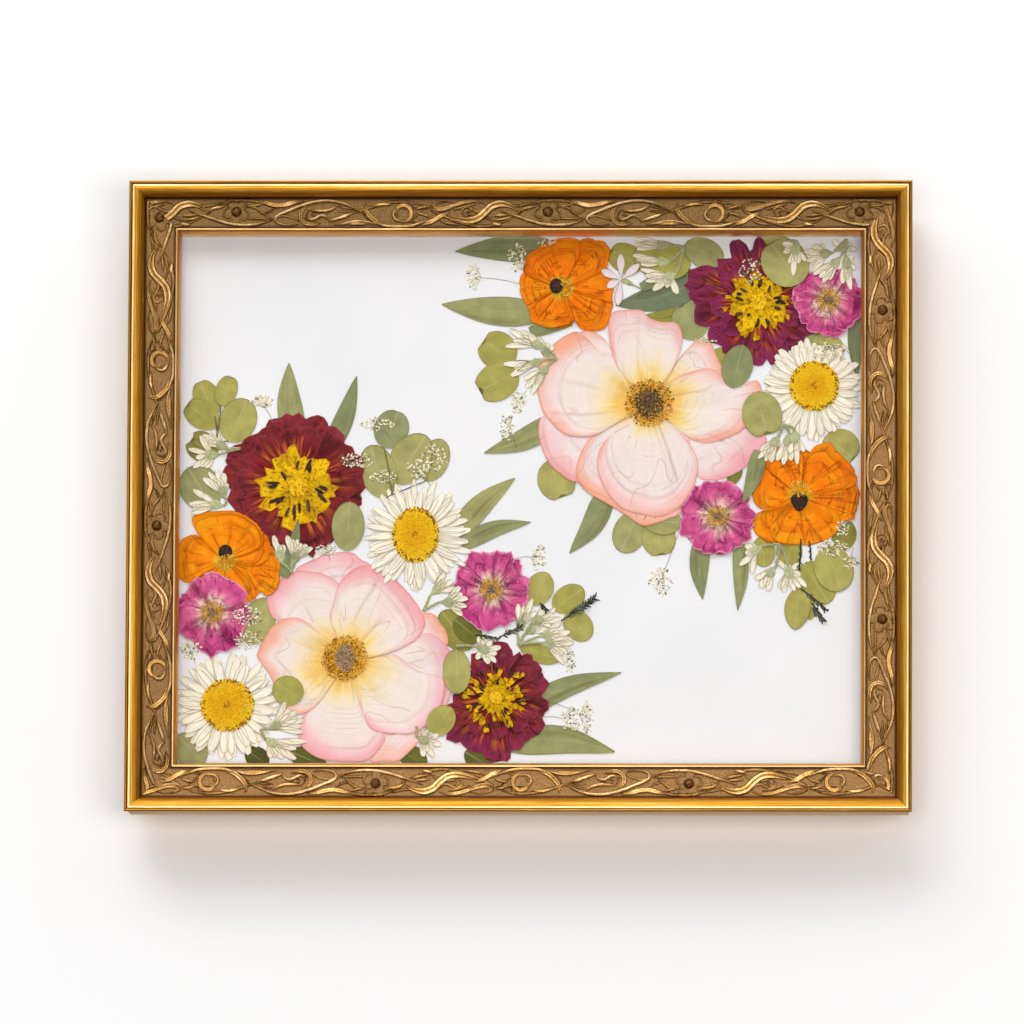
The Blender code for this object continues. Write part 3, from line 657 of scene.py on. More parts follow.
def panelGround():
    # taupe patina of the ornament's ground, stippled, with painted shade along its edges
    startMaterial("taupe_patina", 0.62, Metallic=0.3, Specular_IOR_Level=0.15)
    place = readAttribute("moulding")["Vector"]
    grain = cloud(place, 1.6, 5.0, 0.7)
    patch = cloud(place, 0.22, 3.0)
    colour = ramp(grain, [(0.26, "5E3D12"), (0.44, "9A7242"), (0.6, "BC9058"), (0.8, "E2B87E")])
    streak = streaks(place, (0.25, 2.4, 1), 4.0, 0.7)
    colour = shade(colour, streak, 0.74, 1.22)
    colour = blend(fade(patch, 0.45, 0.75, 0.0, 0.35), colour, "AE8A5A")
    inward = splitVector(place)[1]
    # painted shade along the panel's edges, beside the band and the lip
    edges = calculate("MAXIMUM", fade(inward, 9.3, 8.3), fade(inward, 21.4, 22.6))
    colour = blend(times(edges, 0.75), colour, "3A2204")
    return finishMaterial(gildedAndShaded(colour), grain, 0.00035)


def reliefGold():
    # gold rubbed bright on the crests, with painted shade towards the foot, darkest on the low skirts round
    # the strokes
    startMaterial("rubbed_relief", 0.40, Metallic=0.85, Specular_IOR_Level=0.2)
    place = readAttribute("moulding")["Vector"]
    rise = readAttribute("rise")["Fac"]
    grain = cloud(place, 0.9, 4.0, 0.65)
    patch = cloud(place, 0.16, 2.0)
    level = plus(rise, times(minus(grain, 0.5), 0.8))
    level = plus(level, times(minus(patch, 0.5), 0.7))
    colour = ramp(level, [(0.0, "331C02"), (0.22, "66441A"), (0.48, "9C7440"), (0.72, "BE8E4C"),
                          (0.92, "DCAC66"), (1.0, "F2CC92")])
    rough = fade(level, 0.3, 1.0, 0.55, 0.30)
    return finishMaterial(gildedAndShaded(colour), grain, 0.0003, rough)


def domeBronze():
    startMaterial("dark_bronze_dome", 0.28, Metallic=0.85)
    place = readAttribute("moulding")["Vector"]
    grain = cloud(place, 1.1, 4.0, 0.65)
    colour = ramp(grain, [(0.30, "2C1A08"), (0.5, "5E3C1A"), (0.64, "906434"), (0.8, "D6A878")])
    return finishMaterial(colour, grain, 0.0005)


print("gilded moulding")
railMaterials = [goldLeaf(), panelGround(), reliefGold(), domeBronze()]
for railName in rails:
    makePiece("gilded_" + railName, buildRail(railName), railMaterials, (railName,), crease=38)


# Paper, glass and the back

def linenPaper():
    # white linen-finish paper: fine threads both ways, some thicker than others
    startMaterial("linen_paper", 0.9, Specular_IOR_Level=0.2)
    place = objectPlace()
    weft = streaks(place, (60, 1, 1500), 3.0, 0.6)
    warp = streaks(place, (1500, 1, 60), 3.0, 0.6)
    threads = plus(weft, warp)
    broad = cloud(place, 14.0, 2.0)
    colour = ramp(broad, [(0.3, "F0EFF0"), (0.7, "F5F3F4")])
    colour = shade(colour, times(threads, 0.5), 0.975, 1.015)
    return finishMaterial(colour, threads, 0.00002)


def clearGlass():
    startMaterial("clear_glass", 0.02, IOR=1.45, Transmission_Weight=1.0, Specular_IOR_Level=0.25)
    place = objectPlace()
    tint = ramp(cloud(place, 3.0, 1.0), [(0.3, "FDFEFD"), (0.7, "FFFFFF")])
    return finishMaterial(tint)


def kraftBoard():
    startMaterial("kraft_board", 0.88)
    place = objectPlace()
    fibre = streaks(place, (90, 90, 900), 4.0, 0.7)
    spots = cloud(place, 700.0, 2.0)
    colour = ramp(fibre, [(0.3, "8A6A48"), (0.55, "A17E58"), (0.75, "B08E68")])
    colour = blend(fade(spots, 0.62, 0.75, 0.0, 0.5), colour, "6B4E32")
    return finishMaterial(colour, fibre, 0.0001)


def plainMetal(name, dark, light, depth):
    startMaterial(name, 0.35, Metallic=1.0)
    place = objectPlace()
    rub = streaks(place, (60, 600, 1600), 4.0, 0.65)
    mottle = cloud(place, 220.0, 3.0)
    colour = ramp(mottle, [(0.3, dark), (0.7, light)])
    return finishMaterial(colour, rub, depth, fade(rub, 0.3, 0.7, 0.28, 0.48))


def feltPad():
    startMaterial("grey_felt", 0.95, Sheen_Weight=0.4)
    place = objectPlace()
    hair = cloud(place, 2400.0, 4.0, 0.75, 1.5)
    colour = ramp(hair, [(0.3, "2A2724"), (0.6, "45413C"), (0.8, "5E5952")])
    return finishMaterial(colour, hair, 0.0003)


def dress(names, material):
    for name in names:
        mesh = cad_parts[name].data
        mesh.materials.clear()
        mesh.materials.append(material)


print("paper, glass and back")
dress(["mount_paper"], linenPaper())
dress(["glass"], clearGlass())
dress(["backing_board"], kraftBoard())
dress(["tab_left", "tab_right", "tab_top", "tab_bottom", "hanger_nail_left", "hanger_nail_right"],
      plainMetal("zinc_steel", "8C8E90", "C2C4C6", 0.00003))
dress(["sawtooth_hanger"], plainMetal("worn_brass", "8D6A2C", "C79A4A", 0.00004))
dress(["bumper_left", "bumper_right"], feltPad())
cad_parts["glass"].visible_shadow = False
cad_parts["glass"].visible_diffuse = False

# The pile: everything lies on what is below it. It keeps its top for each half millimetre of paper.

pile = {
    "cell": 0.5,
    "left": -190.0,
    "foot": -155.0,
    "top": np.full((620, 760), 5.36),
    "limit": 9.3,             # under the glass
    "gap": 0.05,
}


def drape(area, steps):
    # the form of a limp sheet over the pile: the highest neighbour, then a mean
    for rule in (np.max, np.mean):
        for axis in (0, 1):
            area = rule([np.roll(area, shift, axis) for shift in range(-steps, steps + 1)], axis=0)
    return area


def restHeight(x, y, limp):
    column = (x - pile["left"]) / pile["cell"]
    row = (y - pile["foot"]) / pile["cell"]
    steps = max(1, int(limp / pile["cell"]))
    left, low = int(column.min()) - 2 * steps - 1, int(row.min()) - 2 * steps - 1
    right, high = int(column.max()) + 2 * steps + 3, int(row.max()) + 2 * steps + 3
    left, low = max(left, 0), max(low, 0)
    area = drape(pile["top"][low:high, left:right], steps)
    column = np.clip(column - left, 0, area.shape[1] - 1.001)
    row = np.clip(row - low, 0, area.shape[0] - 1.001)
    i, j = column.astype(int), row.astype(int)
    u, v = column - i, row - j
    return ((area[j, i] * (1 - u) + area[j, i + 1] * u) * (1 - v)
            + (area[j + 1, i] * (1 - u) + area[j + 1, i + 1] * u) * v)


def refine(values, rows, columns):
    for axis, count in ((0, rows), (1, columns)):
        place = np.linspace(0, values.shape[axis] - 1, count)
        first = np.minimum(place.astype(int), values.shape[axis] - 2)
        part = place - first
        part = part[:, None] if axis == 0 else part[None, :]
        values = np.take(values, first, axis) * (1 - part) + np.take(values, first + 1, axis) * part
    return values


def pileUp(x, y, top):
    gaps = [np.hypot(np.diff(x, axis=axis), np.diff(y, axis=axis)).max() for axis in (0, 1)]
    rows, columns = [int(gap / 0.4 + 1) * (count - 1) + 1 for gap, count in zip(gaps, x.shape)]
    x, y, top = [refine(values, rows, columns) for values in (x, y, top)]
    column = np.clip(((x - pile["left"]) / pile["cell"] + 0.5).astype(int), 0, pile["top"].shape[1] - 1)
    row = np.clip(((y - pile["foot"]) / pile["cell"] + 0.5).astype(int), 0, pile["top"].shape[0] - 1)
    np.maximum.at(pile["top"], (row, column), top)


def startSpecimen():
    bm = bmesh.new()
    bm.verts.layers.float_vector.new("skin")    # across, along, and distance from the base
    bm.verts.layers.float.new("tone")
    bm.verts.layers.float.new("fold")
    return bm


def addGrid(bm, x, y, height, marks):
    # cells whose corners stand at the given places; each corner is found again by its row and column
    rows, columns = x.shape
    corners = {}
    for vert in bmesh.ops.create_grid(bm, x_segments=rows - 1, y_segments=columns - 1, size=1)["verts"]:
        place = round((vert.co.x + 1) / 2 * (rows - 1)), round((vert.co.y + 1) / 2 * (columns - 1))
        corners[place] = vert
        vert.co = (x[place], y[place], height[place])
        for layer, values in marks:
            vert[layer] = values[place]
    return corners


def addSheet(bm, x, y, along, lift, fold, tone, look, waiting=None):
    # a grid laid over the pile at the given places, over an underside of cells twice as wide
    across = np.linspace(0, 1, x.shape[0])[:, None] * np.ones(x.shape)
    reach = np.hypot(x - x[:, :1].mean(), y - y[:, :1].mean()) / 50 * look.get("glow", 1.0)
    thick = look.get("thick", 0.13)
    top = restHeight(x, y, look["limp"]) + pile["gap"] + thick + lift
    top = np.minimum(top, pile["limit"] + 0.02 * np.tanh(top - pile["limit"]))
    marks = [(bm.verts.layers.float_vector["skin"], np.stack((across, along, reach), axis=-1)),
             (bm.verts.layers.float["tone"], np.full(x.shape, tone)), (bm.verts.layers.float["fold"], fold)]
    upper = addGrid(bm, x, y, top, marks)
    last = x.shape[0] - 1, x.shape[1] - 1
    rows, columns = [sorted({*range(0, end, 2), end}) for end in last]
    margin = np.pad(top, 1, mode="edge")
    low = np.min([margin[i:i + x.shape[0], j:j + x.shape[1]] for i in range(3) for j in range(3)], axis=0)
    every = np.ix_(rows, columns)
    under = addGrid(bm, x[every], y[every], low[every] - thick,
                    [(layer, values[every]) for layer, values in marks])
    for face in {face for vert in under.values() for face in vert.link_faces}:
        face.normal_flip()
    under = {(rows[i], columns[j]): vert for (i, j), vert in under.items()}
    rim = ([(i, 0) for i in range(last[0])] + [(last[0], j) for j in range(last[1])]
           + [(i, last[1]) for i in range(last[0], 0, -1)] + [(0, j) for j in range(last[1], 0, -1)])
    step = rim[:1]
    for place in rim[1:] + rim[:1]:
        step.append(place)
        if place in under:
            bm.faces.new([upper[corner] for corner in reversed(step)] + [under[step[0]], under[place]])
            step = [place]
    if waiting is None:
        pileUp(x, y, top)
    else:
        waiting.append((x, y, top))


def settle(waiting):
    # a layer of petals goes on the pile together, so that they don't climb on each other
    for x, y, top in waiting:
        pileUp(x, y, top)
    waiting.clear()


def crinkle(across, along, chance, look):
    # soft waves, then creases that run out from the base and along the rim; fold says where those are
    phase = [chance.uniform(0, fullTurn) for _ in range(5)]
    depth = look["depth"]
    folds = np.sin(fullTurn * look["pleats"] * across + phase[0] + 1.4 * np.sin(3 * along + phase[1]))
    waves = (np.sin(fullTurn * (1.4 * along + 0.9 * across) + phase[2])
             * np.sin(fullTurn * (1.7 * across - 0.8 * along) + phase[3]))
    lift = depth * (1 + 0.55 * folds + 0.45 * waves) * np.minimum(1, along * 1.6)
    fold = np.zeros(lift.shape)
    for _ in range(look.get("creases", 0)):
        line = (chance.uniform(0.04, 0.96)
                + chance.uniform(0.0, 0.05) * np.sin(4 * along + chance.uniform(0, fullTurn)))
        first, last = chance.uniform(0.0, 0.5), chance.uniform(0.6, 1.15)
        mark = (np.exp(-((across - line) * (0.25 + along) / look["creaseWidth"]) ** 2)
                * chance.uniform(0.3, 1.0))
        fold = np.maximum(fold, mark * np.clip((along - first) / 0.15, 0, 1)
                          * np.clip((last - along) / 0.1, 0, 1))
    for _ in range(look.get("contours", 0)):
        line = (chance.uniform(0.70, 0.97)
                + chance.uniform(0.005, 0.03) * np.sin(9 * across + chance.uniform(0, fullTurn)))
        middle, spread = chance.random(), chance.uniform(0.12, 0.4)
        mark = np.exp(-((along - line) / look["contourWidth"]) ** 2 - ((across - middle) / spread) ** 2)
        fold = np.maximum(fold, mark * chance.uniform(0.4, 1.0))
    return lift - 0.9 * depth * fold, fold


def addPetal(bm, base, outline, look, chance, tone=None, waiting=None):
    # a fan of cells from the base to a smooth outline
    base = Vector(base)
    turn = sum((a - base).cross(b - base) for a, b in zip(outline, outline[1:]))
    if turn > 0:
        outline = outline[::-1]
    rim = smoothLine(outline, look["across"])
    ragged = look.get("ragged", 0.0)
    if ragged:
        bumps = np.array([chance.uniform(-ragged, ragged) for _ in rim])
        rim = rim + (rim - np.array(base)) * bumps[:, None]
    wavy = look.get("wavy", 0.0)
    if wavy:
        turn = np.linspace(0, fullTurn, len(rim))
        swing = [chance.uniform(0, fullTurn) for _ in range(3)]
        bumps = (np.sin(3 * turn + swing[0]) + 0.8 * np.sin(5 * turn + swing[1])
                 + 0.6 * np.sin(9 * turn + swing[2]))
        rim = rim + (rim - np.array(base)) * wavy * bumps[:, None]
    heel = look.get("heel", 0.06)
    along = heel + (1 - heel) * np.linspace(0, 1, look["along"] + 1)[None, :] * np.ones((len(rim), 1))
    across = np.linspace(0, 1, len(rim))[:, None]
    x = base.x + (rim[:, :1] - base.x) * along
    y = base.y + (rim[:, 1:] - base.y) * along
    lift, fold = crinkle(across, along, chance, look)
    lift = lift + look.get("curl", 0.0) * along ** 7
    tone = chance.random() if tone is None else tone
    addSheet(bm, x, y, along, lift, fold, tone, look, waiting)


def addBlade(bm, spine, widths, look, chance, tone=None, waiting=None):
    # a strap along a line, as wide as the list says at even steps, from its foot to its tip
    rows = look["along"]
    line = smoothLine(spine, rows)
    ahead = np.gradient(line, axis=0)
    ahead /= np.linalg.norm(ahead, axis=1)[:, None]
    along = np.linspace(0, 1, rows + 1)
    half = np.interp(along, np.linspace(0, 1, len(widths)), widths) / 2
    across = np.linspace(-1, 1, look["across"] + 1)[:, None]
    x = line[None, :, 0] + across * (ahead[:, 1] * half)[None, :]
    y = line[None, :, 1] - across * (ahead[:, 0] * half)[None, :]
    teeth = look.get("teeth", 0.0)
    if teeth:
        length = np.linalg.norm(line[-1] - line[0])
        jag = np.array([chance.uniform(-teeth, teeth * 0.3) for _ in across])[:, None] * length
        x = x + jag * ahead[None, :, 0] * along[None, :] ** 6
        y = y + jag * ahead[None, :, 1] * along[None, :] ** 6
    alongAll = along[None, :] * np.ones(x.shape)
    lift, fold = crinkle((across + 1) / 2, alongAll, chance, look)
    lift = lift + look.get("curl", 0.0) * across ** 2
    tone = chance.random() if tone is None else tone
    addSheet(bm, x, y, alongAll, lift, fold, tone, look, waiting)


def petalOutline(base, direction, reach, breadth, notch=0.0):
    # a rounded petal as a closed line from one side of its foot to the other
    ahead, side = toward(direction, reach), toward(direction + 90, breadth / 2)
    half = [(0.12, 0.26), (0.40, 0.72), (0.70, 1.0), (0.90, 0.80), (1.0, 0.34)]
    left = [base + ahead * a + side * b for a, b in half]
    right = [base + ahead * a - side * b for a, b in reversed(half)]
    return left + [base + ahead * (1.02 - notch)] + right


def leafOutline(base, tip, width, notch, pointed):
    middle, axis = (base + tip) / 2, (tip - base) / 2
    side = Vector((-axis.y, axis.x)).normalized() * width / 2
    line = []
    for step in range(23):
        angle = math.radians(172 - 344 * step / 22)
        wide = math.copysign(abs(math.sin(angle)) ** (1 + 0.7 * pointed), angle)
        dent = 1 - 2.0 * notch * math.exp(-(angle / 0.28) ** 2)
        line.append(middle + axis * (math.cos(angle) * dent) + side * wide)
    return line


def makeStamp(shape, **settings):
    # a small shape kept as a mesh, to be put down many times
    bm = startSpecimen()
    getattr(bmesh.ops, shape)(bm, **settings)
    mesh = bpy.data.meshes.new("stamp")
    bm.to_mesh(mesh)
    bm.free()
    places = np.empty(len(mesh.vertices) * 3)
    mesh.vertices.foreach_get("co", places)
    return mesh, places.reshape(-1, 3)


grainStamp = makeStamp("create_icosphere", subdivisions=1, radius=1.0)
rodStamp = makeStamp("create_cone", cap_ends=True, segments=4, radius1=0.5, radius2=0.36, depth=1.0)


def putStamp(bm, stamp, matrix, tone):
    mesh, places = stamp
    moved = places @ np.array(matrix.to_3x3()).T + np.array(matrix.translation)
    mesh.vertices.foreach_set("co", moved.ravel())
    mesh.attributes["tone"].data.foreach_set("value", [tone] * len(places))
    bm.from_mesh(mesh)


def addBead(bm, place, size, tone):
    putStamp(bm, grainStamp, Matrix.Translation(place) @ Matrix.Diagonal((*size, 1.0)), tone)


def addRod(bm, start, end, thickness, tone):
    start, end = Vector(start), Vector(end)
    run = end - start
    turn = run.to_track_quat("Z", "Y").to_matrix().to_4x4()
    wide = Matrix.Diagonal((thickness, thickness, run.length, 1.0))
    putStamp(bm, rodStamp, Matrix.Translation((start + end) / 2) @ turn @ wide, tone)


def groundAt(x, y, limp=0.5):
    return float(restHeight(np.array([[x]]), np.array([[y]]), limp)[0, 0])


def addStem(bm, points, thickness, tone, pieces=5):
    line = smoothLine(points, pieces)
    places = [(x, y, min(groundAt(x, y) + thickness / 2, pile["limit"])) for x, y in line]
    for start, end in zip(places, places[1:]):
        addRod(bm, start, end, thickness, tone)


def press(node, bm, skinNames):
    # makes a specimen's piece, in place of the solid of its node
    makePiece("pressed_" + node, bm, [skins[name] for name in skinNames], (node,))


def markNew(bm, index):
    # gives the faces made since the last call their material
    for face in bm.faces:
        if not face.tag:
            face.material_index = index
            face.tag = True


# Petal and leaf skins. Each reads how far across and along its own petal a point lies.

def skinOf():
    skin = readAttribute("skin")["Vector"]
    tone = readAttribute("tone")["Fac"]
    across, along, reach = splitVector(skin)
    shift = joinVector(0.0, 0.0, times(tone, 50.0))
    own = addNode("VectorMath", {0: skin, 1: shift}, operation="ADD").outputs[0]
    return own, across, along, reach, tone


def waver(value, noise, amount):
    # shifts a value up and down with a noise
    return plus(value, times(minus(noise, 0.5), amount))


def hairlines(own, scale, width, shift=0):
    # thin lines that follow a stretched noise, present in some parts and not in others
    wander = streaks(own, scale, 1.0, shift=(shift, shift, 0))
    off = calculate("ABSOLUTE", minus(wander, 0.5))
    here = fade(streaks(own, (3, 3, 1), 1.0, shift=(shift, 9, 0)), 0.46, 0.60)
    return times(fade(off, 0.0, width, 1.0, 0.0), here)


def shadeCreases(colour, code, strength):
    # draws the sheet's creases as fine dark lines: painted shade in the folds
    fold = readAttribute("fold")["Fac"]
    return blend(times(fold, strength), colour, code)


def edged(colour, along, start, code, strength):
    edge = fade(along, start, 1.0)
    return blend(times(edge, strength), colour, code)


def rosePetal():
    startMaterial("pink_rose_petal", 0.65, Specular_IOR_Level=0.08)
    own, _, along, reach, tone = skinOf()
    blur = streaks(own, (5, 3, 1), 2.0)
    streak = streaks(own, (18, 1.0, 1), 2.0)
    far = waver(waver(reach, streak, 0.24), blur, 0.20)
    far = plus(far, times(tone, 0.10))
    colour = ramp(far, [(0.18, "F4C464"), (0.26, "F9D990"), (0.37, "F8E3BE"), (0.52, "F7E5DB"),
                        (0.9, "F6E2DF")])
    flush = blend(tone, "F8AE8A", "F2A6B2")
    strong = streaks(own, (3.5, 1.2, 1), 2.0)
    edge = waver(waver(along, blur, 0.10), strong, 0.40)
    rimmed = times(fade(edge, 0.76, 1.06), fade(reach, 0.2, 0.4))
    colour = blend(rimmed, colour, flush)
    broad = streaks(own, (2.2, 1.6, 1), 1.0)
    colour = blend(fade(broad, 0.5, 0.8, 0.0, 0.30), colour, flush)
    veins = streaks(own, (60, 1.6, 1), 3.0, 0.6)
    rings = streaks(own, (2.5, 44, 1), 2.0, 0.6)
    lines = times(plus(veins, rings), 0.5)
    colour = shade(colour, lines, 0.93, 1.04)
    rays = hairlines(own, (5, 0.7, 1), 0.010)
    bands = times(hairlines(own, (0.6, 11, 1), 0.012, 4), 0.6)
    drawn = calculate("MAXIMUM", rays, bands)
    colour = blend(times(drawn, 0.32), colour, "CC8C74")
    colour = shadeCreases(colour, "B87A62", 0.42)
    colour = edged(colour, along, 0.975, "DE9480", 0.7)
    relief = minus(lines, drawn)
    return finishMaterial(colour, relief, 0.00016)


def orangePetal():
    startMaterial("orange_petal", 0.6, Specular_IOR_Level=0.08)
    own, _, along, reach, tone = skinOf()
    patch = streaks(own, (5, 4, 1), 3.0)
    bright = ramp(patch, [(0.3, "FF8404"), (0.5, "FF9404"), (0.7, "FFA610")])
    deep = ramp(patch, [(0.3, "EE6A04"), (0.5, "FB7E04"), (0.7, "FF9408")])
    colour = blend(tone, bright, deep)
    colour = blend(fade(reach, 0.05, 0.13, 1.0, 0.0), colour, "F0B82C")
    veins = streaks(own, (46, 1.3, 1), 4.0, 0.65)
    rings = streaks(own, (4, 34, 1), 3.0, 0.6)
    lines = calculate("MAXIMUM", veins, waver(rings, along, 0.25))
    colour = shade(colour, lines, 1.12, 0.88)
    dark = fade(veins, 0.60, 0.74)
    colour = blend(times(dark, 0.4), colour, "C85A02")
    rays = hairlines(own, (12, 0.6, 1), 0.022)
    bands = hairlines(own, (1.6, 9, 1), 0.022, 4)
    drawn = times(calculate("MAXIMUM", rays, bands), fade(tone, 0.0, 0.5, 0.35, 0.8))
    colour = blend(drawn, colour, "8E3A02")
    colour = shadeCreases(colour, "7C3002", 0.75)
    colour = edged(colour, along, 0.975, "A44602", 0.6)
    relief = minus(lines, drawn)
    return finishMaterial(colour, relief, 0.00030)


def magentaPetal():
    startMaterial("magenta_petal", 0.62, Specular_IOR_Level=0.08)
    own, _, along, reach, _ = skinOf()
    streak = streaks(own, (12, 1.2, 1), 3.0, 0.6)
    far = waver(reach, streak, 0.26)
    colour = ramp(far, [(0.05, "F4E6BE"), (0.11, "F2C8B8"), (0.16, "EA86A6"), (0.22, "DA5A90"),
                        (0.42, "CC4884")])
    patch = streaks(own, (4, 3, 1), 3.0)
    colour = blend(fade(patch, 0.5, 0.66, 0.0, 0.75), colour, "AA2C70")
    colour = blend(fade(patch, 0.46, 0.30, 0.0, 0.6), colour, "EC7EA4")
    folds = streaks(own, (34, 3, 1), 4.0, 0.65)
    colour = blend(fade(folds, 0.56, 0.70, 0.0, 0.7), colour, "8E2458")
    drawn = calculate("MAXIMUM", hairlines(own, (8, 0.9, 1), 0.024), hairlines(own, (1.4, 7, 1), 0.024, 4))
    colour = blend(times(drawn, 0.7), colour, "7A1A4C")
    colour = shadeCreases(colour, "6E1440", 0.8)
    colour = edged(colour, along, 0.95, "F6B8CE", 0.6)
    relief = minus(folds, drawn)
    return finishMaterial(colour, relief, 0.00035)


def burgundyPetal():
    startMaterial("burgundy_petal", 0.6, Specular_IOR_Level=0.08)
    own, _, along, _, tone = skinOf()
    streak = streaks(own, (30, 1.1, 1), 2.0, 0.6)
    colour = ramp(streak, [(0.30, "3C0610"), (0.44, "6E1018"), (0.58, "8E1E24"), (0.74, "A83E34")])
    purple = blend(tone, "7E2E26", "862E66")
    outer = fade(along, 0.60, 0.95)
    colour = blend(times(outer, 0.65), colour, purple)
    flame = streaks(own, (22, 0.8, 1), 2.0, 0.5, shift=(3, 5, 0))
    glow = times(fade(flame, 0.50, 0.62), fade(waver(along, streak, 0.3), 0.92, 0.60))
    colour = blend(times(glow, 0.85), colour, "CE742C")
    patch = streaks(own, (5, 4, 1), 3.0)
    colour = shade(colour, patch, 0.66, 1.3)
    drawn = hairlines(own, (13, 0.6, 1), 0.03)
    colour = blend(times(drawn, 0.75), colour, "2C0408")
    colour = shadeCreases(colour, "22030A", 0.8)
    colour = edged(colour, along, 0.965, "943C48", 0.45)
    return finishMaterial(colour, streak, 0.0004)


def yellowPetal():
    startMaterial("yellow_middle", 0.6, Specular_IOR_Level=0.08)
    own, _, along, _, tone = skinOf()
    spots = streaks(own, (6, 5, 1), 4.0, 0.65)
    colour = ramp(spots, [(0.30, "BC7A06"), (0.44, "E8B004"), (0.6, "F4C80A"), (0.78, "E4A208")])
    colour = blend(fade(along, 0.55, 0.2, 0.0, 0.6), colour, "C4740C")
    colour = shade(colour, tone, 0.84, 1.06)
    place = objectPlace()
    specks = cloud(place, 620.0, 3.0, 0.6)
    colour = blend(fade(specks, 0.53, 0.62, 0.0, 0.75), colour, "80540A")
    colour = shadeCreases(colour, "7A4606", 0.85)
    colour = edged(colour, along, 0.93, "B97A06", 0.5)
    return finishMaterial(colour, spots, 0.0004)


def daisyPetal():
    startMaterial("daisy_petal", 0.7, Specular_IOR_Level=0.1)
    own, across, along, _, tone = skinOf()
    grooves = streaks(own, (9, 1.3, 1), 3.0, 0.6)
    colour = ramp(grooves, [(0.30, "D2C6A6"), (0.42, "F4EAD2"), (0.6, "FFF8E6"), (0.8, "FFFCF0")])
    colour = shade(colour, tone, 0.97, 1.05)
    foot = fade(along, 0.45, 0.2, 0.0, 0.5)
    colour = blend(foot, colour, "DCCB98")
    # painted shade: darker along the rays' sides
    side = calculate("ABSOLUTE", minus(across, 0.5))
    colour = blend(fade(side, 0.36, 0.5, 0.0, 0.7), colour, "9C9068")
    return finishMaterial(colour, grooves, 0.00025)


def whiteFloret():
    startMaterial("white_floret", 0.72, Specular_IOR_Level=0.1)
    own, across, along, _, tone = skinOf()
    grooves = streaks(own, (7, 1.5, 1), 3.0, 0.6)
    colour = ramp(grooves, [(0.32, "C2B68E"), (0.45, "F6ECD2"), (0.7, "FFF8E6")])
    colour = blend(fade(along, 0.4, 0.05, 0.0, 0.7), colour, "C6C698")
    colour = blend(fade(tone, 0.8, 1.0), colour, "EFDDE0")
    # painted shade: darker along the petals' sides
    side = calculate("ABSOLUTE", minus(across, 0.5))
    colour = blend(fade(side, 0.34, 0.5, 0.0, 0.85), colour, "8E8458")
    return finishMaterial(colour, grooves, 0.00025)


def calyxSkin():
    startMaterial("pale_green_calyx", 0.75, Specular_IOR_Level=0.1)
    tone = readAttribute("tone")["Fac"]
    place = objectPlace()
    fuzz = cloud(place, 1500.0, 3.0, 0.7)
    colour = ramp(fuzz, [(0.3, "8E9060"), (0.5, "B6B88A"), (0.7, "D8D8B6")])
    colour = shade(colour, tone, 0.85, 1.05)
    return finishMaterial(colour, fuzz, 0.0002)


def leafSkin():
    startMaterial("pressed_leaf", 0.62, Specular_IOR_Level=0.12)
    _, across, along, _, tone = skinOf()
    place = objectPlace()
    colour = ramp(tone, [(0.0, "3F3D10"), (0.2, "6A6A2A"), (0.4, "A39C48"), (0.55, "B0A85C"),
                         (0.7, "A09F6A"), (0.85, "868C60"), (1.0, "6B755A")])
    broad = cloud(place, 130.0, 4.0, 0.65)
    colour = shade(colour, broad, 0.80, 1.18)
    spots = cloud(place, 520.0, 3.0, 0.65)
    colour = blend(fade(spots, 0.58, 0.74, 0.0, 0.5), colour, "6E6E30")
    side = calculate("ABSOLUTE", minus(across, 0.5))
    rib = fade(side, 0.0, 0.014, 1.0, 0.0)
    slant = minus(times(along, 9.0), times(side, 6.0))
    wave = calculate("ABSOLUTE", calculate("SINE", times(slant, fullTurn)))
    vein = times(fade(wave, 0.0, 0.22, 1.0, 0.0), 0.12)
    lines = calculate("MAXIMUM", times(rib, 0.35), vein)
    colour = blend(lines, colour, "C9C498")
    edge = calculate("MAXIMUM", fade(side, 0.465, 0.5), fade(along, 0.965, 1.0))
    colour = blend(times(edge, 0.65), colour, "5A4E1E")
    colour = shadeCreases(colour, "5C5A26", 0.55)
    relief = plus(times(lines, 0.5), broad)
    return finishMaterial(colour, relief, 0.00018)


def beadSkin(name, stops, roughness=0.6):
    # stamens, disc florets and other grains, coloured by their tone
    startMaterial(name, roughness, Specular_IOR_Level=0.15)
    tone = readAttribute("tone")["Fac"]
    place = objectPlace()
    grain = cloud(place, 1800.0, 3.0, 0.6)
    colour = shade(ramp(tone, stops), grain, 0.85, 1.12)
    return finishMaterial(colour, grain, 0.00015)


print("petal and leaf skins")
skins = {
    "rose": rosePetal(),
    "orange": orangePetal(),
    "magenta": magentaPetal(),
    "burgundy": burgundyPetal(),
    "yellow": yellowPetal(),
    "daisy": daisyPetal(),
    "white": whiteFloret(),
    "calyx": calyxSkin(),
    "leaf": leafSkin(),
    "stamen": beadSkin("gold_stamens", [(0.0, "2E2110"), (0.2, "5A4220"), (0.4, "A26C0A"), (0.65, "DE9806"),
                                        (1.0, "F4C650")]),
    "pistil": beadSkin("brown_pistils", [(0.0, "33251A"), (0.3, "5C4632"), (0.6, "8A6E52"),
                                         (1.0, "B89A78")]),
    "disc": beadSkin("yellow_disc", [(0.0, "6E4A12"), (0.25, "C88E10"), (0.5, "F6BC08"), (1.0, "FFDA24")]),
    "dark": beadSkin("dark_anthers", [(0.0, "1E120C"), (0.5, "3C2418"), (1.0, "5A3A22")]),
    "lace": beadSkin("cream_lace", [(0.0, "62663C"), (0.25, "A6A878"), (0.45, "F2E6BC"), (1.0, "FFF9E2")]),
    "sprig": beadSkin("dark_sprig", [(0.0, "2C2E1E"), (0.5, "4E5240"), (1.0, "76786A")], 0.7),
    "stalk": beadSkin("dry_stalk", [(0.0, "4A3A20"), (0.5, "8E8A5A"), (1.0, "C2C096")]),
}


# Long leaves, laid first

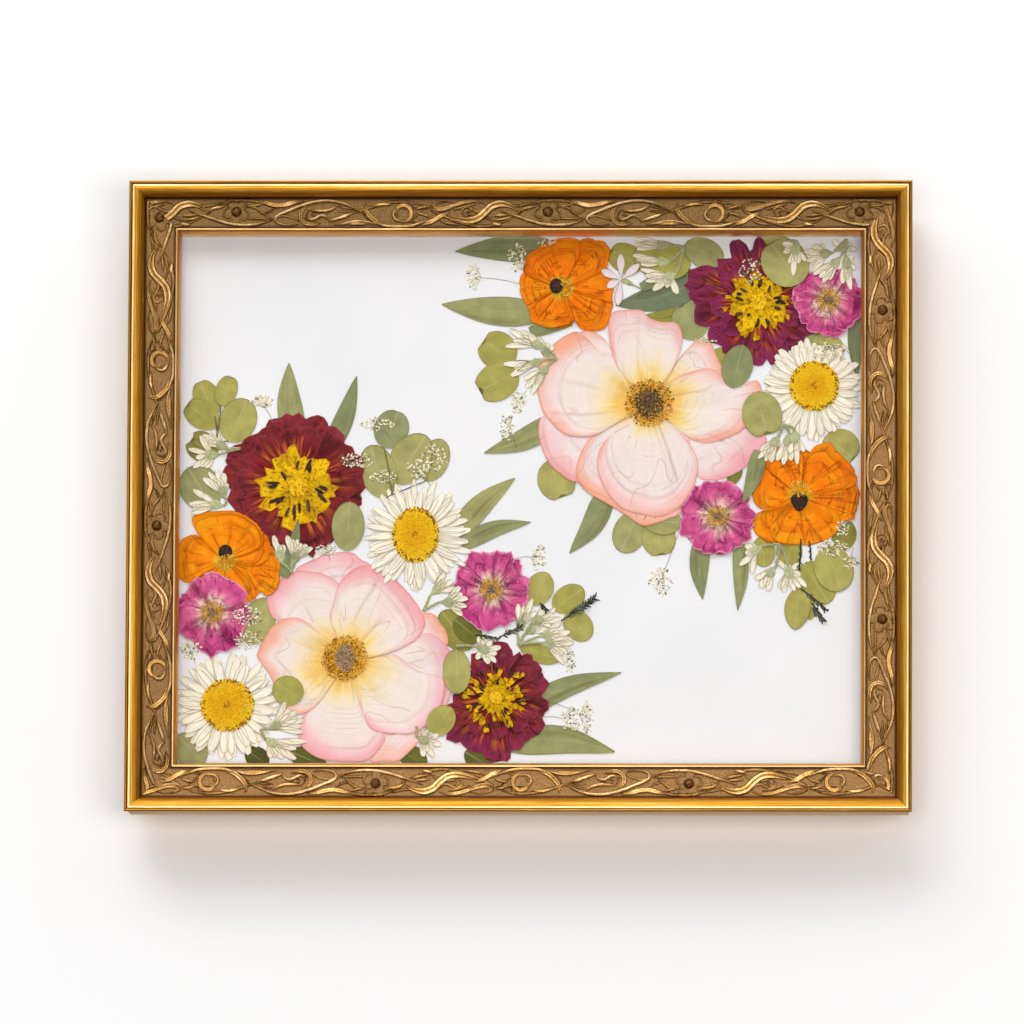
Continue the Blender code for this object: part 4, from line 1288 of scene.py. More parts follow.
lanceLook = {"across": 12, "along": 30, "pleats": 0.9, "depth": 0.12, "curl": 0.18, "thick": 0.2,
             "limp": 2.0, "creases": 3, "creaseWidth": 0.05}
lanceWidths = [0.70, 0.86, 0.97, 1.0, 0.98, 0.92, 0.81, 0.66, 0.48, 0.28, 0.03]

# node or None, tip and base in photo pixels, breadth in mm, bend, tone
lanceLeaves = [
    ("lance_leaf_burgundy_up", (288, 364), (295, 440), 13, 1.5, 0.70),
    ("lance_leaf_burgundy_right", (356, 377), (329, 452), 10, -1.5, 0.84),
    ("lance_leaf_top_upper", (454, 252), (550, 250), 14, -1.0, 0.86),
    ("lance_leaf_top_lower", (441, 305), (535, 314), 15, 0.8, 0.72),
    ("lance_leaf_pink_left", (484, 454), (560, 420), 12, 2.0, 0.74),
    ("lance_leaf_blue", (615, 306), (700, 280), 16, 2.5, 0.97),
    ("lance_leaf_pink_bottom", (570, 554), (607, 492), 12, 2.5, 0.80),
    ("lance_leaf_magenta_left", (703, 600), (702, 540), 10, -1.5, 0.82),
    ("lance_leaf_magenta_right", (738, 611), (740, 545), 8, 1.0, 0.76),
    ("lance_leaf_corner", (857, 380), (857, 312), 8, -1.0, 0.90),
    ("lance_leaf_daisy_upper", (515, 479), (455, 537), 12, 2.0, 0.66),
    ("lance_leaf_daisy_lower", (531, 523), (462, 546), 9, 2.5, 0.78),
    ("lance_leaf_bottom_upper", (622, 673), (520, 712), 11, 3.0, 0.80),
    ("lance_leaf_bottom_lower", (616, 752), (510, 742), 15, 3.5, 0.76),
]
looseLances = [
    ((638, 318), (684, 313), 6.5, 1.0, 0.35),
    ((572, 326), (529, 333), 7.0, 1.0, 0.80),
    ((727, 490), (738, 466), 7.0, 0.5, 0.25),
    ((686, 276), (640, 288), 6.0, 1.5, 0.90),
]


def addLance(bm, tip, base, breadth, bend, tone, chance):
    tip, base = spot(tip), spot(base)
    side = Vector((base.y - tip.y, tip.x - base.x)).normalized()
    spine = [base, base.lerp(tip, 0.5) + side * bend, tip]
    addBlade(bm, spine, [width * breadth for width in lanceWidths], lanceLook, chance, tone)


print("long leaves")
for index, (node, tip, base, breadth, bend, tone) in enumerate(lanceLeaves):
    bm = startSpecimen()
    addLance(bm, tip, base, breadth, bend, tone, random.Random(100 + index))
    press(node, bm, ["leaf"])
bm = startSpecimen()
for index, leaf in enumerate(looseLances):
    addLance(bm, *leaf, random.Random(130 + index))
makePiece("loose_lance_leaves", bm, [skins["leaf"]])


# Round leaves: base, tip and width in photo pixels, notch at the tip, how pointed, tone

roundLook = {"across": 22, "along": 9, "pleats": 0.8, "depth": 0.12, "curl": 0.12, "thick": 0.2,
             "limp": 2.0, "heel": 0.03}
twigs = {
    "leaf_twig_left": ((216, 443), [
        ((214, 417), (198, 381), 27, 0.05, 0.1, 0.47), ((217, 427), (184, 404), 28, 0.14, 0.1, 0.45),
        ((220, 407), (231, 376), 22, 0.10, 0.1, 0.50), ((229, 443), (246, 400), 37, 0.0, 0.0, 0.56)]),
    "leaf_twig_middle": ((392, 496), [
        ((384, 449), (398, 411), 35, 0.04, 0.1, 0.80), ((426, 482), (442, 440), 30, 0.0, 0.1, 0.62),
        ((394, 484), (426, 436), 40, 0.0, 0.1, 0.62), ((386, 499), (370, 446), 37, 0.0, 0.1, 0.64)]),
    "leaf_twig_rose": ((528, 362), [
        ((514, 362), (480, 340), 38, 0.14, 0.0, 0.46), ((517, 372), (476, 394), 38, 0.16, 0.0, 0.48)]),
    "leaf_twig_foot": ((652, 506), [
        ((640, 513), (621, 553), 34, 0.0, 0.0, 0.66), ((656, 520), (662, 558), 34, 0.10, 0.0, 0.60),
        ((644, 521), (682, 524), 27, 0.0, 0.0, 0.64)]),
}
roundLeaves = {
    "round_leaf_magenta": ((249, 645), (269, 599), 34, 0.0, 0.1, 0.62),
    "round_leaf_top": ((723, 262), (684, 245), 30, 0.0, 0.1, 0.68),
    "round_leaf_daisy": ((826, 436), (855, 461), 38, 0.08, 0.0, 0.56),
    "round_leaf_twig": ((533, 606), (547, 573), 28, 0.0, 0.2, 0.52),
    "round_leaf_hanging": ((800, 587), (795, 631), 26, 0.0, 0.6, 0.50),
}
overLeaves = {
    "round_leaf_grey": ((347, 552), (350, 503), 33, 0.0, 0.1, 0.68),
    "round_leaf_rose_left": ((303, 700), (276, 683), 30, 0.0, 0.0, 0.46),
    "round_leaf_rose_right": ((459, 695), (457, 650), 28, 0.0, 0.0, 0.60),
    "round_leaf_rose_foot": ((432, 735), (453, 708), 27, 0.0, 0.1, 0.50),
    "round_leaf_notched": ((800, 285), (769, 242), 47, 0.05, 0.0, 0.62),
    "round_leaf_burgundy_foot": ((731, 389), (743, 346), 31, 0.0, 0.2, 0.82),
}
looseUnder = [
    ((216, 457), (187, 438), 30, 0.22, 0.0, 0.28), ((214, 509), (187, 469), 42, 0.0, 0.1, 0.74),
    ((206, 764), (179, 736), 32, 0.0, 0.1, 0.72), ((270, 766), (248, 750), 22, 0.0, 0.3, 0.05),
    ((328, 767), (292, 752), 24, 0.0, 0.3, 0.12), ((428, 767), (402, 750), 24, 0.0, 0.3, 0.18),
    ((494, 768), (466, 752), 22, 0.0, 0.3, 0.15), ((472, 650), (442, 612), 34, 0.0, 0.2, 0.32),
    ((482, 642), (455, 620), 24, 0.0, 0.4, 0.20), ((549, 461), (564, 501), 38, 0.14, 0.0, 0.58),
    ((642, 268), (608, 250), 30, 0.10, 0.0, 0.42), ((690, 268), (632, 254), 40, 0.0, 0.2, 0.42),
    ((700, 339), (679, 305), 36, 0.10, 0.0, 0.72), ((824, 347), (796, 324), 28, 0.0, 0.1, 0.72),
    ((844, 353), (812, 340), 24, 0.0, 0.2, 0.58), ((725, 349), (711, 371), 19, 0.0, 0.1, 0.42),
    ((762, 537), (765, 568), 24, 0.0, 0.2, 0.46), ((792, 539), (787, 569), 26, 0.0, 0.2, 0.44),
    ((850, 522), (838, 552), 24, 0.0, 0.2, 0.30), ((804, 564), (829, 604), 37, 0.0, 0.0, 0.44),
    ((826, 548), (842, 592), 39, 0.0, 0.0, 0.54), ((812, 620), (802, 600), 14, 0.0, 0.3, 0.44),
    ((554, 610), (584, 589), 27, 0.0, 0.1, 0.45), ((568, 613), (590, 640), 28, 0.0, 0.1, 0.50),
    ((520, 647), (561, 661), 20, 0.0, 0.5, 0.44), ((790, 243), (756, 238), 16, 0.0, 0.3, 0.46),
    ((526, 672), (529, 654), 11, 0.0, 0.3, 0.24),
]
looseOver = [
    ((756, 393), (768, 439), 40, 0.14, 0.0, 0.62),
]


def addRoundLeaf(bm, base, tip, width, notch, pointed, tone, chance):
    base, tip = spot(base), spot(tip)
    outline = leafOutline(base, tip, width / 2, notch, pointed)
    addPetal(bm, base, outline, roundLook, chance, tone)


print("round leaves")
for index, (node, (foot, leaves)) in enumerate(twigs.items()):
    bm = startSpecimen()
    for number, leaf in enumerate(leaves):
        addRoundLeaf(bm, *leaf, random.Random(200 + 10 * index + number))
    markNew(bm, 0)
    for leaf in leaves:
        bend = spot(leaf[0]).lerp(spot(foot), 0.4) + Vector((0.4, 0.3))
        addStem(bm, [spot(foot), bend, spot(leaf[0])], 0.7, 0.35)
    markNew(bm, 1)
    press(node, bm, ["leaf", "stalk"])
bm = startSpecimen()
for index, leaf in enumerate(looseUnder):
    addRoundLeaf(bm, *leaf, random.Random(300 + index))
makePiece("loose_round_leaves", bm, [skins["leaf"]])
for index, (node, leaf) in enumerate(roundLeaves.items()):
    bm = startSpecimen()
    addRoundLeaf(bm, *leaf, random.Random(340 + index))
    press(node, bm, ["leaf"])


# Burgundy blooms: streaked petals round a ragged yellow middle with dark anthers

burgundyLook = {"across": 26, "along": 18, "pleats": 2.6, "depth": 0.28, "curl": 0.15, "limp": 1.0,
                "ragged": 0.05, "wavy": 0.02, "creases": 5, "creaseWidth": 0.035, "contours": 1,
                "contourWidth": 0.02}
petaloidLook = {"across": 12, "along": 8, "pleats": 1.2, "depth": 0.22, "limp": 1.0, "ragged": 0.14,
                "creases": 2, "creaseWidth": 0.06}
barLook = {"across": 3, "along": 4, "pleats": 0.5, "depth": 0.05, "thick": 0.3, "limp": 0.5, "curl": -0.12}
burgundies = {
    "burgundy_bloom_left": {
        "middle": (295, 486),
        "tones": (0.0, 0.15),
        "petals": [(step * 360 / 15 + 4, 35.8 - 1.2 * (step % 3), 24.0) for step in range(15)],
        "inner": [(step * 360 / 9 + 9, 31.0, 22.0) for step in range(9)],
        "yellow": (298, 490),
        "petaloids": [(step * 360 / 14, 19.6 - 1.0 * (step % 2), 10.0) for step in range(14)]
                     + [(step * 360 / 9 + 14, 13.5, 8.0) for step in range(9)]
                     + [(step * 360 / 7 + 4, 8.0, 5.0) for step in range(7)],
        "bars": 18, "barRing": (7.0, 14.5), "barSize": (4.0, 6.5, 1.9), "bead": 4.5,
    },
    "burgundy_bloom_right": {
        "middle": (758, 304),
        "petals": [(110, 34, 10), (89, 33, 12), (157, 38, 19), (178, 33, 15), (193, 33, 15), (222, 31, 13),
                   (243, 31, 13), (264, 32, 14), (288, 31, 14), (312, 31, 15), (330, 30, 14), (352, 25, 14),
                   (30, 26, 14), (62, 27, 13), (135, 29, 13)],
        "inner": [(step * 360 / 9 + 20, 24.0, 12.0) for step in range(9)], "tones": (0.5, 1.0),
        "petaloids": [(step * 360 / 12 + 8, 16.5 - 2 * (step % 2), 7.5) for step in range(12)]
                     + [(step * 360 / 9, 10.5, 6.5) for step in range(9)],
        "flecks": 18, "fleckRing": (12.0, 18.0),
        "bars": 16, "barRing": (6.0, 13.0), "barSize": (2.0, 4.2, 1.8), "bead": 4.0,
    },
    "burgundy_bloom_bottom": {
        "middle": (497, 699),
        "petals": [(18, 28, 14), (350, 26, 13), (325, 28, 14), (298, 29, 15), (272, 31, 15), (245, 30, 15),
                   (222, 32, 14), (200, 27, 13), (160, 22, 12), (110, 26, 13), (84, 30, 14), (58, 28, 12),
                   (38, 27, 13)],
        "inner": [(step * 360 / 11 + 12, 21.0, 9.0) for step in range(11)], "tones": (0.0, 0.8),
        "petaloids": [(step * 360 / 10 + 5, 11.5 - 2 * (step % 2), 4.6) for step in range(10)]
                     + [(step * 360 / 8, 8.0, 4.5) for step in range(8)],
        "flecks": 34, "fleckRing": (9.0, 18.0),
        "bars": 30, "barRing": (6.0, 17.0), "barSize": (2.0, 4.2, 1.1), "bead": 3.0,
    },
}


def buildBurgundy(bloom, seed):
    chance = random.Random(seed)
    bm = startSpecimen()
    middle = spot(bloom["middle"])
    waiting = []
    for number, (direction, reach, breadth) in enumerate(bloom["petals"]):
        outline = petalOutline(middle, direction + chance.uniform(-3, 3),
                               reach * chance.uniform(0.96, 1.03), breadth, chance.uniform(0.0, 0.08))
        addPetal(bm, middle, outline, burgundyLook, chance, chance.uniform(*bloom["tones"]), waiting)
        if number % 2:
            settle(waiting)
    settle(waiting)
    for direction, reach, breadth in bloom["inner"]:
        outline = petalOutline(middle, direction + chance.uniform(-5, 5),
                               reach * chance.uniform(0.92, 1.08), breadth, chance.uniform(0.0, 0.08))
        addPetal(bm, middle, outline, burgundyLook, chance, chance.uniform(*bloom["tones"]), waiting)
    settle(waiting)
    markNew(bm, 0)
    middle = spot(bloom.get("yellow", bloom["middle"]))
    for direction, reach, breadth in bloom["petaloids"]:
        outline = petalOutline(middle, direction + chance.uniform(-8, 8), reach * chance.uniform(0.86, 1.1),
                               breadth * chance.uniform(0.8, 1.15), chance.uniform(0.0, 0.15))
        addPetal(bm, middle, outline, petaloidLook, chance, waiting=waiting)
    settle(waiting)
    for number in range(bloom.get("flecks", 0)):
        # loose ragged tips around the middle
        direction = number * goldenAngle + chance.uniform(-20, 20)
        foot = middle + toward(direction, chance.uniform(*bloom["fleckRing"]) - 3)
        outline = petalOutline(foot, direction + chance.uniform(-40, 40), chance.uniform(3.0, 6.5),
                               chance.uniform(1.8, 3.6), 0.2)
        addPetal(bm, foot, outline, petaloidLook, chance)
    markNew(bm, 1)
    inside, outside = bloom["barRing"]
    shortest, longest, breadth = bloom["barSize"]
    for number in range(bloom["bars"]):
        direction = number * goldenAngle + chance.uniform(-20, 20)
        start = middle + toward(direction, chance.uniform(inside, outside - 3))
        end = start + toward(direction + chance.uniform(-35, 35), chance.uniform(shortest, longest))
        wide = breadth * chance.uniform(0.7, 1.1)
        addBlade(bm, [start, (start + end) / 2, end],
                 [0.5 * wide, 0.9 * wide, wide, 0.95 * wide, 0.5 * wide], barLook, chance)
    markNew(bm, 2)
    for number in range(70):
        place = middle + toward(number * goldenAngle, bloom["bead"] * math.sqrt(number / 70))
        size = chance.uniform(0.4, 0.8)
        addBead(bm, (place.x, place.y, groundAt(place.x, place.y) + 0.05), (size, size, 0.3),
                chance.uniform(0.2, 1.0))
    markNew(bm, 3)
    return bm


print("burgundy blooms")
for index, (node, bloom) in enumerate(burgundies.items()):
    press(node, buildBurgundy(bloom, 400 + index), ["burgundy", "yellow", "dark", "disc"])


# Orange ranunculus: broad petals, each given by its outline in photo pixels

orangeLook = {"across": 60, "along": 30, "pleats": 2.2, "depth": 0.30, "curl": 0.22, "limp": 1.4,
              "heel": 0.1, "ragged": 0.012, "wavy": 0.008, "creases": 7, "creaseWidth": 0.011,
              "contours": 5, "contourWidth": 0.018}
oranges = {
    "orange_ranunculus_left": {
        "base": (226, 561), "seed": (226, 554), "seedSize": (3.5, 4.1), "stamens": (226, 564),
        "under": [(200, 20, 14), (235, 20, 13), (285, 21, 15), (318, 24, 15)],
        "petals": [
            (0.15, [(214, 566), (204, 574), (192, 583), (181, 580), (178, 562), (180, 546), (186, 538),
                    (197, 536), (208, 545), (216, 554)]),
            (0.25, [(238, 567), (252, 574), (262, 590), (268, 598), (277, 589), (282, 572), (278, 559),
                    (270, 547), (255, 556), (240, 562)]),
            (0.10, [(220, 569), (211, 576), (205, 584), (213, 594), (230, 602), (247, 604), (257, 598),
                    (253, 585), (243, 574), (232, 567)]),
            (0.20, [(237, 565), (254, 567), (266, 563), (272, 551), (268, 540), (260, 532), (246, 543),
                    (237, 556)]),
            (0.00, [(214, 553), (202, 540), (192, 523), (197, 515), (210, 513), (224, 512), (240, 514),
                    (254, 522), (262, 534), (263, 546), (251, 554), (237, 558)]),
        ],
    },
    "orange_ranunculus_top": {
        "base": (560, 289), "seed": (555.5, 287.5), "seedSize": (3.3, 3.9), "stamens": (566, 289),
        "under": [(270, 20, 15), (300, 18, 13), (160, 19, 13), (95, 22, 14)],
        "petals": [
            (0.45, [(548, 300), (532, 312), (523, 302), (519, 288), (519, 278), (528, 272), (545, 281)]),
            (0.75, [(556, 300), (570, 322), (556, 328), (543, 328), (531, 322), (530, 309), (546, 297)]),
            (0.70, [(567, 296), (574, 318), (578, 328), (590, 333), (602, 329), (609, 320), (612, 303),
                    (600, 293), (580, 289)]),
            (0.80, [(570, 286), (588, 276), (605, 268), (611, 279), (612, 291), (610, 303), (598, 298),
                    (578, 292)]),
            (0.65, [(568, 282), (574, 262), (578, 241), (592, 240), (607, 246), (609, 258), (604, 270),
                    (586, 280)]),
            (0.85, [(548, 285), (524, 275), (523, 264), (530, 254), (541, 246), (553, 240), (566, 238),
                    (577, 241), (579, 255), (571, 272), (565, 281)]),
        ],
    },
    "orange_ranunculus_right": {
        "base": (800, 498), "seed": (799.5, 504), "seedSize": (5.6, 4.6), "narrow": 0.28,
        "stamens": (799, 490),
        "under": [(90, 24, 15), (65, 23, 13), (180, 22, 12), (345, 28, 13), (120, 22, 13)],
        "petals": [
            (0.50, [(790, 499), (770, 510), (757, 507), (753, 495), (756, 475), (761, 459), (776, 470),
                    (792, 489)]),
            (0.55, [(812, 501), (830, 511), (840, 521), (853, 520), (858, 506), (858, 490), (850, 480),
                    (830, 486), (811, 494)]),
            (0.70, [(790, 490), (770, 473), (760, 462), (768, 451), (780, 447), (793, 442), (803, 450),
                    (803, 470), (801, 487)]),
            (0.60, [(804, 488), (806, 465), (813, 449), (829, 444), (842, 458), (853, 470), (857, 483),
                    (845, 490), (825, 490), (811, 494)]),
            (0.30, [(792, 505), (770, 512), (756, 515), (754, 530), (764, 541), (780, 546), (791, 535),
                    (798, 514)]),
            (0.25, [(789, 506), (775, 517), (770, 530), (776, 542), (793, 546), (813, 545), (831, 538),
                    (841, 524), (832, 510), (812, 503)]),
        ],
    },
}


def addStamenRing(bm, middle, inside, outside, chance, tones, lift):
    # filaments from the middle outward, each with its anther
    for number in range(90):
        direction = number * goldenAngle + chance.uniform(-15, 15)
        start = middle + toward(direction, inside * chance.uniform(0.3, 1.0))
        end = middle + toward(direction + chance.uniform(-14, 14),
                              chance.uniform(inside + 0.45 * (outside - inside), outside))
        low = groundAt(start.x, start.y) + 0.1
        high = min(groundAt(end.x, end.y) + 0.2 + lift * chance.random(), pile["limit"])
        addRod(bm, (start.x, start.y, low), (end.x, end.y, high), 0.2, chance.uniform(0.55, 1.0))
        size = chance.uniform(0.28, 0.5)
        addBead(bm, (end.x, end.y, high), (size, size * 0.8, 0.28), chance.choice(tones))


def buildOrange(bloom, seed):
    chance = random.Random(seed)
    bm = startSpecimen()
    base = spot(bloom["base"])
    for direction, reach, breadth in bloom["under"]:
        addPetal(bm, base, petalOutline(base, direction, reach, breadth), orangeLook, chance)
    for tone, outline in bloom["petals"]:
        addPetal(bm, base, [spot(p) for p in outline], orangeLook, chance, tone)
    markNew(bm, 0)
    middle = spot(bloom["stamens"])
    addStamenRing(bm, middle, 0.8, 4.6, chance, [0.75, 0.9, 0.95, 1.0, 0.6], 0.3)
    markNew(bm, 1)
    place = spot(bloom["seed"])
    low = groundAt(place.x, place.y)
    wide, tall = bloom["seedSize"]
    narrow = bloom.get("narrow", 0.0)
    ball = bmesh.ops.create_uvsphere(bm, u_segments=18, v_segments=10, radius=1.0)["verts"]
    bmesh.ops.transform(bm, verts=ball, matrix=Matrix.Translation((place.x, place.y, low + 0.4))
                        @ Matrix.Diagonal((wide, tall, 0.85, 1)))
    layer = bm.verts.layers.float["tone"]
    for vert in ball:
        vert.co.x = place.x + (vert.co.x - place.x) * (1 - narrow + narrow * (vert.co.y - place.y) / tall)
        angle = math.atan2(vert.co.y - place.y, vert.co.x - place.x)
        vert.co.z += 0.1 * math.cos(6 * angle)
        vert[layer] = 0.25 + 0.25 * math.cos(6 * angle)
    markNew(bm, 2)
    return bm


print("orange ranunculus")
for index, node in enumerate(["orange_ranunculus_top", "orange_ranunculus_right"]):
    press(node, buildOrange(oranges[node], 430 + index), ["orange", "stamen", "dark"])


# Large pink roses. Each petal in the order they lie: tone, how soon its yellow foot fades, and outline

roseLook = {"across": 72, "along": 38, "pleats": 1.6, "depth": 0.24, "curl": 0.05, "limp": 2.0,
            "heel": 0.16, "creases": 2, "creaseWidth": 0.008, "contours": 2, "contourWidth": 0.012}
roses = {
    "pink_rose_right": {
        "base": (648, 405), "core": (649, 404), "coreSize": (7.2, 7.8), "ring": 12.6, "stamens": 520,
        "stamenTones": [0.05, 0.2, 0.6, 0.66, 0.72, 0.76, 0.84, 0.92], "pistils": (0.0, 0.6),
        "petals": [
            (0.0, 1.2, [(628, 388), (600, 352), (580, 334), (592, 333), (605, 341), (614, 358),
                (634, 386)]),
            (0.9, 1.6, [(690, 440), (690, 452), (696, 464), (698, 477), (705, 481), (721, 480),
                (740, 472), (757, 456), (767, 441), (757, 432), (735, 428), (700, 424)]),
            (0.6, 1.5, [(600, 420), (570, 418), (543, 417), (538, 431), (541, 447), (547, 461),
                (558, 473), (577, 483), (600, 470), (625, 430)]),
            (0.1, 1.0, [(663, 390), (670, 376), (680, 358), (689, 348), (698, 340), (710, 343),
                (716, 356), (724, 373), (728, 386), (706, 398), (672, 402)]),
            (0.1, 1.5, [(626, 420), (598, 433), (585, 446), (577, 466), (577, 480), (587, 493),
                (606, 504), (623, 514), (639, 525), (647, 527), (668, 520), (682, 510), (668, 470),
                (645, 425)]),
            (0.5, 1.0, [(632, 386), (622, 374), (614, 362), (609, 341), (608, 324), (613, 313),
                (626, 311), (640, 311), (649, 319), (662, 323), (676, 324), (682, 337), (679, 354),
                (672, 370), (664, 381)]),
            (0.25, 0.95, [(664, 392), (671, 382), (684, 375), (698, 371), (712, 370), (727, 381),
                (743, 388), (756, 381), (762, 393), (755, 410), (743, 430), (727, 439), (707, 444),
                (689, 439), (676, 428), (668, 414)]),
            (0.35, 1.7, [(628, 427), (613, 435), (602, 446), (597, 463), (600, 479), (608, 495),
                (623, 510), (640, 515), (658, 518), (676, 511), (690, 495), (697, 476), (697, 459),
                (688, 443), (675, 430), (662, 420)]),
            (0.15, 0.95, [(626, 390), (613, 372), (600, 355), (580, 334), (566, 336), (551, 347),
                (541, 362), (536, 378), (537, 394), (542, 411), (551, 424), (564, 435), (582, 438),
                (598, 435), (611, 427), (626, 417)]),
        ],
    },
    "pink_rose_left": {
        "base": (347, 661), "core": (346, 659), "coreSize": (4.9, 6.9), "ring": 12.0, "stamens": 500,
        "stamenTones": [0.15, 0.45, 0.6, 0.7, 0.75, 0.8, 0.9, 1.0], "pistils": (0.6, 1.0),
        "petals": [
            (0.8, 1.3, [(330, 640), (305, 590), (296, 572), (306, 564), (316, 560), (326, 555),
                (342, 553), (354, 554), (360, 560), (372, 572), (360, 630)]),
            (0.1, 1.3, [(372, 650), (410, 625), (425, 614), (436, 616), (441, 624), (447, 632),
                (448, 646), (430, 655), (380, 662)]),
            (0.2, 1.3, [(365, 700), (385, 733), (404, 733), (422, 729), (420, 742), (406, 757),
                (398, 762), (384, 762), (371, 760), (350, 720)]),
            (0.95, 1.1, [(378, 658), (405, 649), (422, 639), (428, 634), (438, 638), (449, 649),
                (456, 663), (458, 675), (453, 691), (447, 708), (436, 721), (425, 728), (395, 700)]),
            (0.7, 1.1, [(332, 645), (322, 634), (300, 619), (276, 620), (269, 608), (268, 598),
                (274, 587), (286, 577), (298, 572), (312, 573), (326, 576), (340, 587), (346, 620),
                (345, 645)]),
            (0.85, 0.95, [(336, 684), (322, 700), (313, 711), (304, 716), (301, 724), (299, 734),
                (304, 747), (317, 757), (331, 761), (350, 762), (368, 761), (380, 750), (387, 736),
                (374, 728), (366, 715), (361, 692)]),
            (0.9, 0.85, [(372, 659), (385, 657), (397, 656), (409, 665), (423, 673), (443, 678),
                (446, 688), (444, 701), (438, 717), (426, 727), (414, 734), (394, 734), (379, 732),
                (370, 727), (365, 715), (362, 698), (360, 680)]),
            (0.1, 0.95, [(327, 649), (319, 635), (308, 625), (297, 619), (284, 621), (273, 628),
                (265, 641), (258, 655), (262, 664), (271, 676), (277, 690), (284, 704), (290, 714),
                (300, 715), (312, 711), (323, 700), (334, 684)]),
            (0.75, 0.95, [(344, 640), (335, 630), (331, 617), (335, 602), (339, 586), (350, 573),
                (362, 567), (374, 566), (386, 571), (399, 583), (412, 597), (421, 610), (426, 624),
                (419, 638), (405, 648), (389, 654), (374, 658)]),
        ],
    },
}


def buildRose(bloom, seed):
    chance = random.Random(seed)
    bm = startSpecimen()
    base = spot(bloom["base"])
    for tone, glow, outline in bloom["petals"]:
        addPetal(bm, base, [spot(p) for p in outline], dict(roseLook, glow=glow), chance, tone)
    markNew(bm, 0)
    middle = spot(bloom["core"])
    floor = groundAt(*middle)
    wide = bloom["ring"] - 2.2
    mat = bmesh.ops.create_uvsphere(bm, u_segments=28, v_segments=8, radius=1.0)["verts"]
    bmesh.ops.transform(bm, verts=mat, matrix=Matrix.Translation((*middle, floor + 0.05))
                        @ Matrix.Diagonal((wide, wide * 0.96, 0.4, 1)))
    for vert in mat:
        out = Vector((vert.co.x, vert.co.y)) - middle
        vert.co.xy = middle + out * (1 + 0.10 * math.sin(7 * math.atan2(out.y, out.x)))
        vert[bm.verts.layers.float["tone"]] = 0.5
    addStamenRing(bm, middle, 4.5, bloom["ring"], chance, bloom["stamenTones"], 0.4)
    for number in range(bloom["stamens"]):
        part = 0.12 + 0.88 * number / bloom["stamens"]
        place = middle + toward(number * goldenAngle + chance.uniform(-9, 9),
                                (bloom["ring"] - 0.6) * math.sqrt(part) * chance.uniform(0.94, 1.04))
        size = chance.uniform(0.32, 0.62)
        high = max(groundAt(place.x, place.y), floor) + chance.uniform(0.35, 0.7)
        addBead(bm, (place.x, place.y, min(high, pile["limit"])),
                (size, size * chance.uniform(0.6, 1.0), 0.3), chance.choice(bloom["stamenTones"]))
    markNew(bm, 1)
    wide, tall = bloom["coreSize"]
    for number in range(320):
        out = toward(number * goldenAngle + chance.uniform(-8, 8),
                     math.sqrt(number / 320) * chance.uniform(0.9, 1.06))
        x, y = middle.x + out.x * wide, middle.y + out.y * tall
        size = chance.uniform(0.30, 0.62)
        high = max(groundAt(x, y), floor) + 0.85 - 0.3 * out.length + chance.uniform(0, 0.25)
        addBead(bm, (x, y, min(high, pile["limit"] - 0.15)), (size, size, 0.42),
                chance.uniform(*bloom["pistils"]))
    markNew(bm, 2)
    return bm


print("pink roses")
for index, node in enumerate(["pink_rose_right", "pink_rose_left"]):
    press(node, buildRose(roses[node], 450 + index), ["rose", "stamen", "pistil"])
node = "orange_ranunculus_left"
press(node, buildOrange(oranges[node], 434), ["orange", "stamen", "dark"])


# Magenta roses

magentaLook = {"across": 34, "along": 20, "pleats": 2.4, "depth": 0.34, "curl": 0.2, "limp": 1.2,
               "ragged": 0.03, "wavy": 0.035, "heel": 0.12, "creases": 6, "creaseWidth": 0.03,
               "contours": 2, "contourWidth": 0.03}
magentas = {
    "magenta_rose_left": {"middle": (213, 614), "petals": [
        (140, 18, 20), (345, 19, 20), (205, 18, 21), (278, 21, 22), (66, 19, 24)]},
    "magenta_rose_middle": {"middle": (492, 591), "petals": [
        (330, 19, 20), (30, 19, 20), (165, 19, 20), (238, 20, 21), (282, 20, 19), (92, 20, 24)]},
    "magenta_rose_right": {"middle": (718, 518), "petals": [
        (20, 18, 19), (150, 18, 20), (300, 19, 20), (216, 19, 21), (258, 19, 20), (82, 18, 23)]},
    "magenta_rose_corner": {"middle": (828, 301), "petals": [
        (88, 14, 18), (30, 17, 19), (152, 18, 20), (205, 17, 18), (268, 19, 20), (328, 18, 20)]},
}


def buildMagenta(bloom, seed):
    chance = random.Random(seed)
    bm = startSpecimen()
    middle = spot(bloom["middle"])
    waiting = []
    for direction, reach, breadth in bloom["petals"]:
        under = petalOutline(middle, direction + 24, reach * 0.93, breadth * 0.9, 0.04)
        addPetal(bm, middle, under, magentaLook, chance, waiting=waiting)
    settle(waiting)
    for direction, reach, breadth in bloom["petals"]:
        outline = petalOutline(middle, direction, reach, breadth, chance.uniform(0.0, 0.12))
        addPetal(bm, middle, outline, magentaLook, chance)
    markNew(bm, 0)
    addStamenRing(bm, middle, 2.0, 6.2, chance, [0.3, 0.45, 0.6, 0.75, 0.9], 0.35)
    markNew(bm, 1)
    for number in range(36):
        place = middle + toward(number * goldenAngle, 2.6 * math.sqrt(number / 36))
        size = chance.uniform(0.35, 0.6)
        addBead(bm, (place.x, place.y, groundAt(place.x, place.y) + 0.25), (size, size, 0.35),
                chance.uniform(0.3, 0.9))
    markNew(bm, 2)
    return bm


print("magenta roses")
for index, (node, bloom) in enumerate(magentas.items()):
    press(node, buildMagenta(bloom, 470 + index), ["magenta", "stamen", "pistil"])


# Daisies

